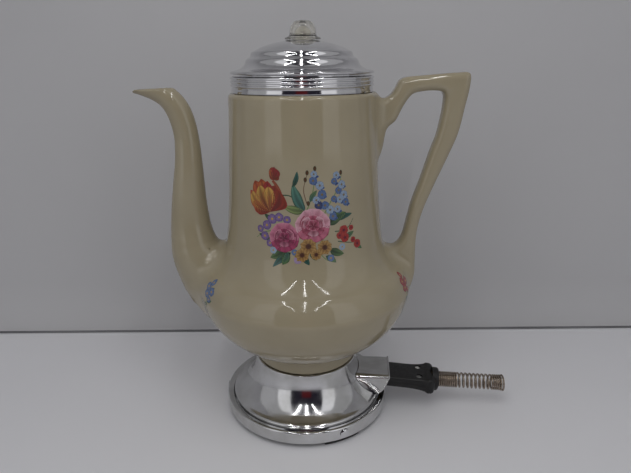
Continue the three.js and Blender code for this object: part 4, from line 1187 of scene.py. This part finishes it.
    # violets
    for u, z, r in ((-21, 174, 3.6), (-16, 175.5, 3.2), (-25, 169.5, 3.4), (-30, 166.5, 2.6), (-26.5, 162, 3.2),
                    (-22.5, 157.5, 2.8), (-10.5, 174, 2.8)):
        s.floret(u, z, r, 5, LILAC, PURPLE, YELLOW, 2, turn=u, rim=mixed(PURPLE, NAVY, 0.5))
    # roses
    s.rose(-12.5, 162, 20.5, PLUM, MAGENTA, (0.92, 0.55, 0.66), 3)
    s.rose(7, 170, 23.5, CRIMSON, (0.88, 0.42, 0.55), (0.97, 0.74, 0.80), 5)
    # daisies and the small red flowers
    for u, z, r in ((3.6, 156.2, 5.6), (14.5, 155, 5.2), (-0.6, 150.4, 4.8), (8.6, 150.4, 3.8)):
        s.floret(u, z, r, 8, (0.55, 0.33, 0.12), (0.86, 0.68, 0.36), BROWN, 7, turn=u, rim=(0.50, 0.30, 0.12))
        s.blot(u, z, r * 0.34, (0.30, 0.14, 0.08), BROWN, 9)
    for u, z, r in ((28.7, 165, 3.6), (29.4, 159.8, 3.4), (25.5, 161.8, 2.6), (39.5, 153.8, 3.2),
                    (36, 157.3, 2.2),
                    (34.8, 165.8, 2.0)):
        s.floret(u, z, r, 5, RED, (0.84, 0.25, 0.20), PLUM, 3, turn=u, rim=CRIMSON)
    for u, z, r, colour in ((-20, 152.8, 2.4, SKY), (-3.5, 147, 2.6, LILAC), (18.5, 147.3, 2.4, BLUE),
                            (27, 153.8, 2.4, SKY),
                            (-5.5, 152.2, 2.2, BLUE)):
        s.floret(u, z, r, 5, mixed(colour, (1, 1, 1), 0.4), colour, YELLOW, 3, turn=u)
    s.done()


def sprig(name, azimuth, z, colour, dark):
    """A small spray of one colour."""
    s = Spray(name, azimuth)
    s.twig([(0, z - 9), (-1, z - 3), (0.5, z + 4), (0, z + 8)], 0.6, GREEN, 0)
    for u, dz, tip_u, tip_z in ((0, -6, 5, -3), (0, -3, -5, -0.5), (0, -8, -4, -8.5), (0, 2, 4.4, 5.5)):
        s.petal((u, z + dz), (tip_u, z + tip_z), 2.4, BLUE_GREEN, GREEN, 1, vein=0.5, rim=DARK_GREEN)
    for u, dz, r in ((0.4, 7.6, 2.0), (-2.4, 4.2, 2.8), (2.8, 2.4, 3.0), (-1.6, -0.6, 3.2), (1.8, -3.4, 2.2)):
        s.floret(u, z + dz, r, 5, mixed(colour, (1, 1, 1), 0.4), colour, YELLOW, 2, turn=dz, rim=dark)
    s.done()


bouquet("flower_spray_front", -90)
bouquet("flower_spray_back", 90)
sprig("blue_sprig_front", -149.7, 114.8, BLUE, NAVY)
sprig("red_sprig_front", -21, 114.6, RED, PLUM)
sprig("blue_sprig_back", 30, 114.8, BLUE, NAVY)
sprig("red_sprig_back", 150, 114.6, RED, PLUM)


# ---------------------------------------------------------------- floor, backdrop and light
def staged(name, points, faces, material):
    """A sheet of the setting."""
    mesh = bpy.data.meshes.new(name)
    mesh.from_pydata(points, [], faces)
    mesh.materials.append(material)
    mesh.shade_smooth()
    obj = bpy.data.objects.new(name, mesh)
    bpy.context.scene.collection.objects.link(obj)
    return obj


def sheet_material(name, low, high):
    """A matt sheet that is only seen from its front."""
    material, nodes, links, shader = plain(name, [(0.3, low), (0.7, high)], (0.45, 0.6), scale=3, bump=0.05,
                                           bump_scale=300)
    see_through = nodes.new("ShaderNodeBsdfTransparent")
    mix = nodes.new("ShaderNodeMixShader")
    geometry = nodes.new("ShaderNodeNewGeometry")
    links.new(geometry.outputs["Backfacing"], mix.inputs["Fac"])
    links.new(shader.outputs["BSDF"], mix.inputs[1])
    links.new(see_through.outputs["BSDF"], mix.inputs[2])
    links.new(mix.outputs["Shader"], next(n for n in nodes if n.type == "OUTPUT_MATERIAL").inputs["Surface"])
    return material


def strip_along_x(section, x0=-2.5, x1=2.5):
    """A section in the YZ plane, stretched along X."""
    points = [(x, y, z) for x in (x0, x1) for y, z in section]
    n = len(section)
    return points, [[i, i + 1, i + 1 + n, i + n] for i in range(n - 1)]


WALL_Y = 0.122
floor_sheet = sheet_material("floor_sheet", (0.83, 0.83, 0.855), (0.86, 0.86, 0.885))
wall_sheet = sheet_material("wall_sheet", (0.56, 0.56, 0.57), (0.59, 0.59, 0.60))
staged("floor", *strip_along_x([(WALL_Y - 0.006, 0), (-3, 0)]), floor_sheet)
staged("backdrop", *strip_along_x([(WALL_Y + 0.012, 2.2), (WALL_Y + 0.012, 0.05), (WALL_Y + 0.010, 0.035),
                                   (WALL_Y + 0.006, 0.020), (WALL_Y, 0.006), (WALL_Y - 0.003, -0.002)]),
       wall_sheet)
# A dark strip along the foot of the backdrop: painted shadow of the gap where the wall meets the floor.
seam_shadow_paint = plain("seam_shadow", [(0.3, (0.14, 0.14, 0.15)), (0.7, (0.24, 0.24, 0.25))], (0.6, 0.8), scale=12)[0]
staged("backdrop_seam_shadow", *strip_along_x([(WALL_Y - 0.003, 0.0006), (WALL_Y - 0.0075, 0.0006)]), seam_shadow_paint)


def area_light(name, location, size, power, colour, aim):
    """A rectangular light that looks at the aim."""
    data = bpy.data.lights.new(name, "AREA")
    data.shape = "RECTANGLE"
    data.size, data.size_y = size
    data.energy, data.color = power, colour
    obj = bpy.data.objects.new(name, data)
    obj.location = location
    obj.rotation_mode = "QUATERNION"
    obj.rotation_quaternion = (Vector(aim) - Vector(location)).to_track_quat("-Z", "Y")
    bpy.context.scene.collection.objects.link(obj)


STRIP_Y, STRIP_Z = -0.52, 0.66
for i, x in enumerate((-0.17, 0.0, 0.17)):
    area_light(f"led_strip_{i}", (x, STRIP_Y, STRIP_Z), (0.009, 0.80), 0.6, (1.0, 1.0, 1.0), (x, -0.5199, 0))


def make_world():
    """A grey light tent with bright side panels and a dark opening towards the front."""
    world = bpy.data.worlds.new("light_tent")
    bpy.context.scene.world = world
    world.use_nodes = True
    nodes, links = world.node_tree.nodes, world.node_tree.links
    nodes.clear()
    output = nodes.new("ShaderNodeOutputWorld")
    background = nodes.new("ShaderNodeBackground")
    links.new(background.outputs["Background"], output.inputs["Surface"])
    where = nodes.new("ShaderNodeTexCoord")
    axes = nodes.new("ShaderNodeSeparateXYZ")
    links.new(where.outputs["Generated"], axes.inputs["Vector"])

    def soft_step(value, start, stop):
        """From 0 at start to 1 at stop."""
        node = nodes.new("ShaderNodeMapRange")
        node.interpolation_type = "SMOOTHSTEP"
        node.inputs["From Min"].default_value, node.inputs["From Max"].default_value = start, stop
        links.new(value, node.inputs["Value"])
        return node.outputs["Result"]

    def times(a, b):
        node = nodes.new("ShaderNodeMath")
        node.operation = "MULTIPLY"
        links.new(a, node.inputs[0])
        links.new(b, node.inputs[1])
        return node.outputs["Value"]

    sideways = nodes.new("ShaderNodeMath")
    sideways.operation = "ABSOLUTE"
    links.new(axes.outputs["X"], sideways.inputs[0])

    def beside(slope):
        """Below zero inside a wedge of directions round the front, that wide for its depth."""
        node = nodes.new("ShaderNodeMath")
        node.operation = "MULTIPLY_ADD"
        links.new(axes.outputs["Y"], node.inputs[0])
        node.inputs[1].default_value = slope
        links.new(sideways.outputs["Value"], node.inputs[2])
        return node.outputs["Value"]

    def over(colour, fac, below=None):
        """A colour laid over the one below, or over the tent's plain grey."""
        mix = nodes.new("ShaderNodeMix")
        mix.data_type = "RGBA"
        links.new(fac, mix.inputs["Factor"])
        if below is None:
            mix.inputs["A"].default_value = (0.42, 0.42, 0.43, 1)
        else:
            links.new(below, mix.inputs["A"])
        mix.inputs["B"].default_value = (*colour, 1)
        return mix.outputs["Result"]

    height = axes.outputs["Z"]
    panels = times(times(soft_step(beside(0.36), -0.02, 0.06), soft_step(beside(1.5), 0.05, -0.05)),
                   soft_step(height, 0.90, 0.80))
    window = times(soft_step(beside(0.55), 0.05, 0.02), soft_step(axes.outputs["Y"], 0.32, 0.18))
    red = times(times(soft_step(beside(0.16), 0.01, -0.02), soft_step(height, 0.30, 0.20)),
                soft_step(axes.outputs["Y"], -0.15, -0.3))
    colour = over((0.95, 0.95, 0.97), panels)
    colour = over((0.022, 0.020, 0.030), window, colour)
    colour = over((0.10, 0.012, 0.015), red, colour)
    links.new(colour, background.inputs["Color"])
    background.inputs["Strength"].default_value = 0.86


make_world()
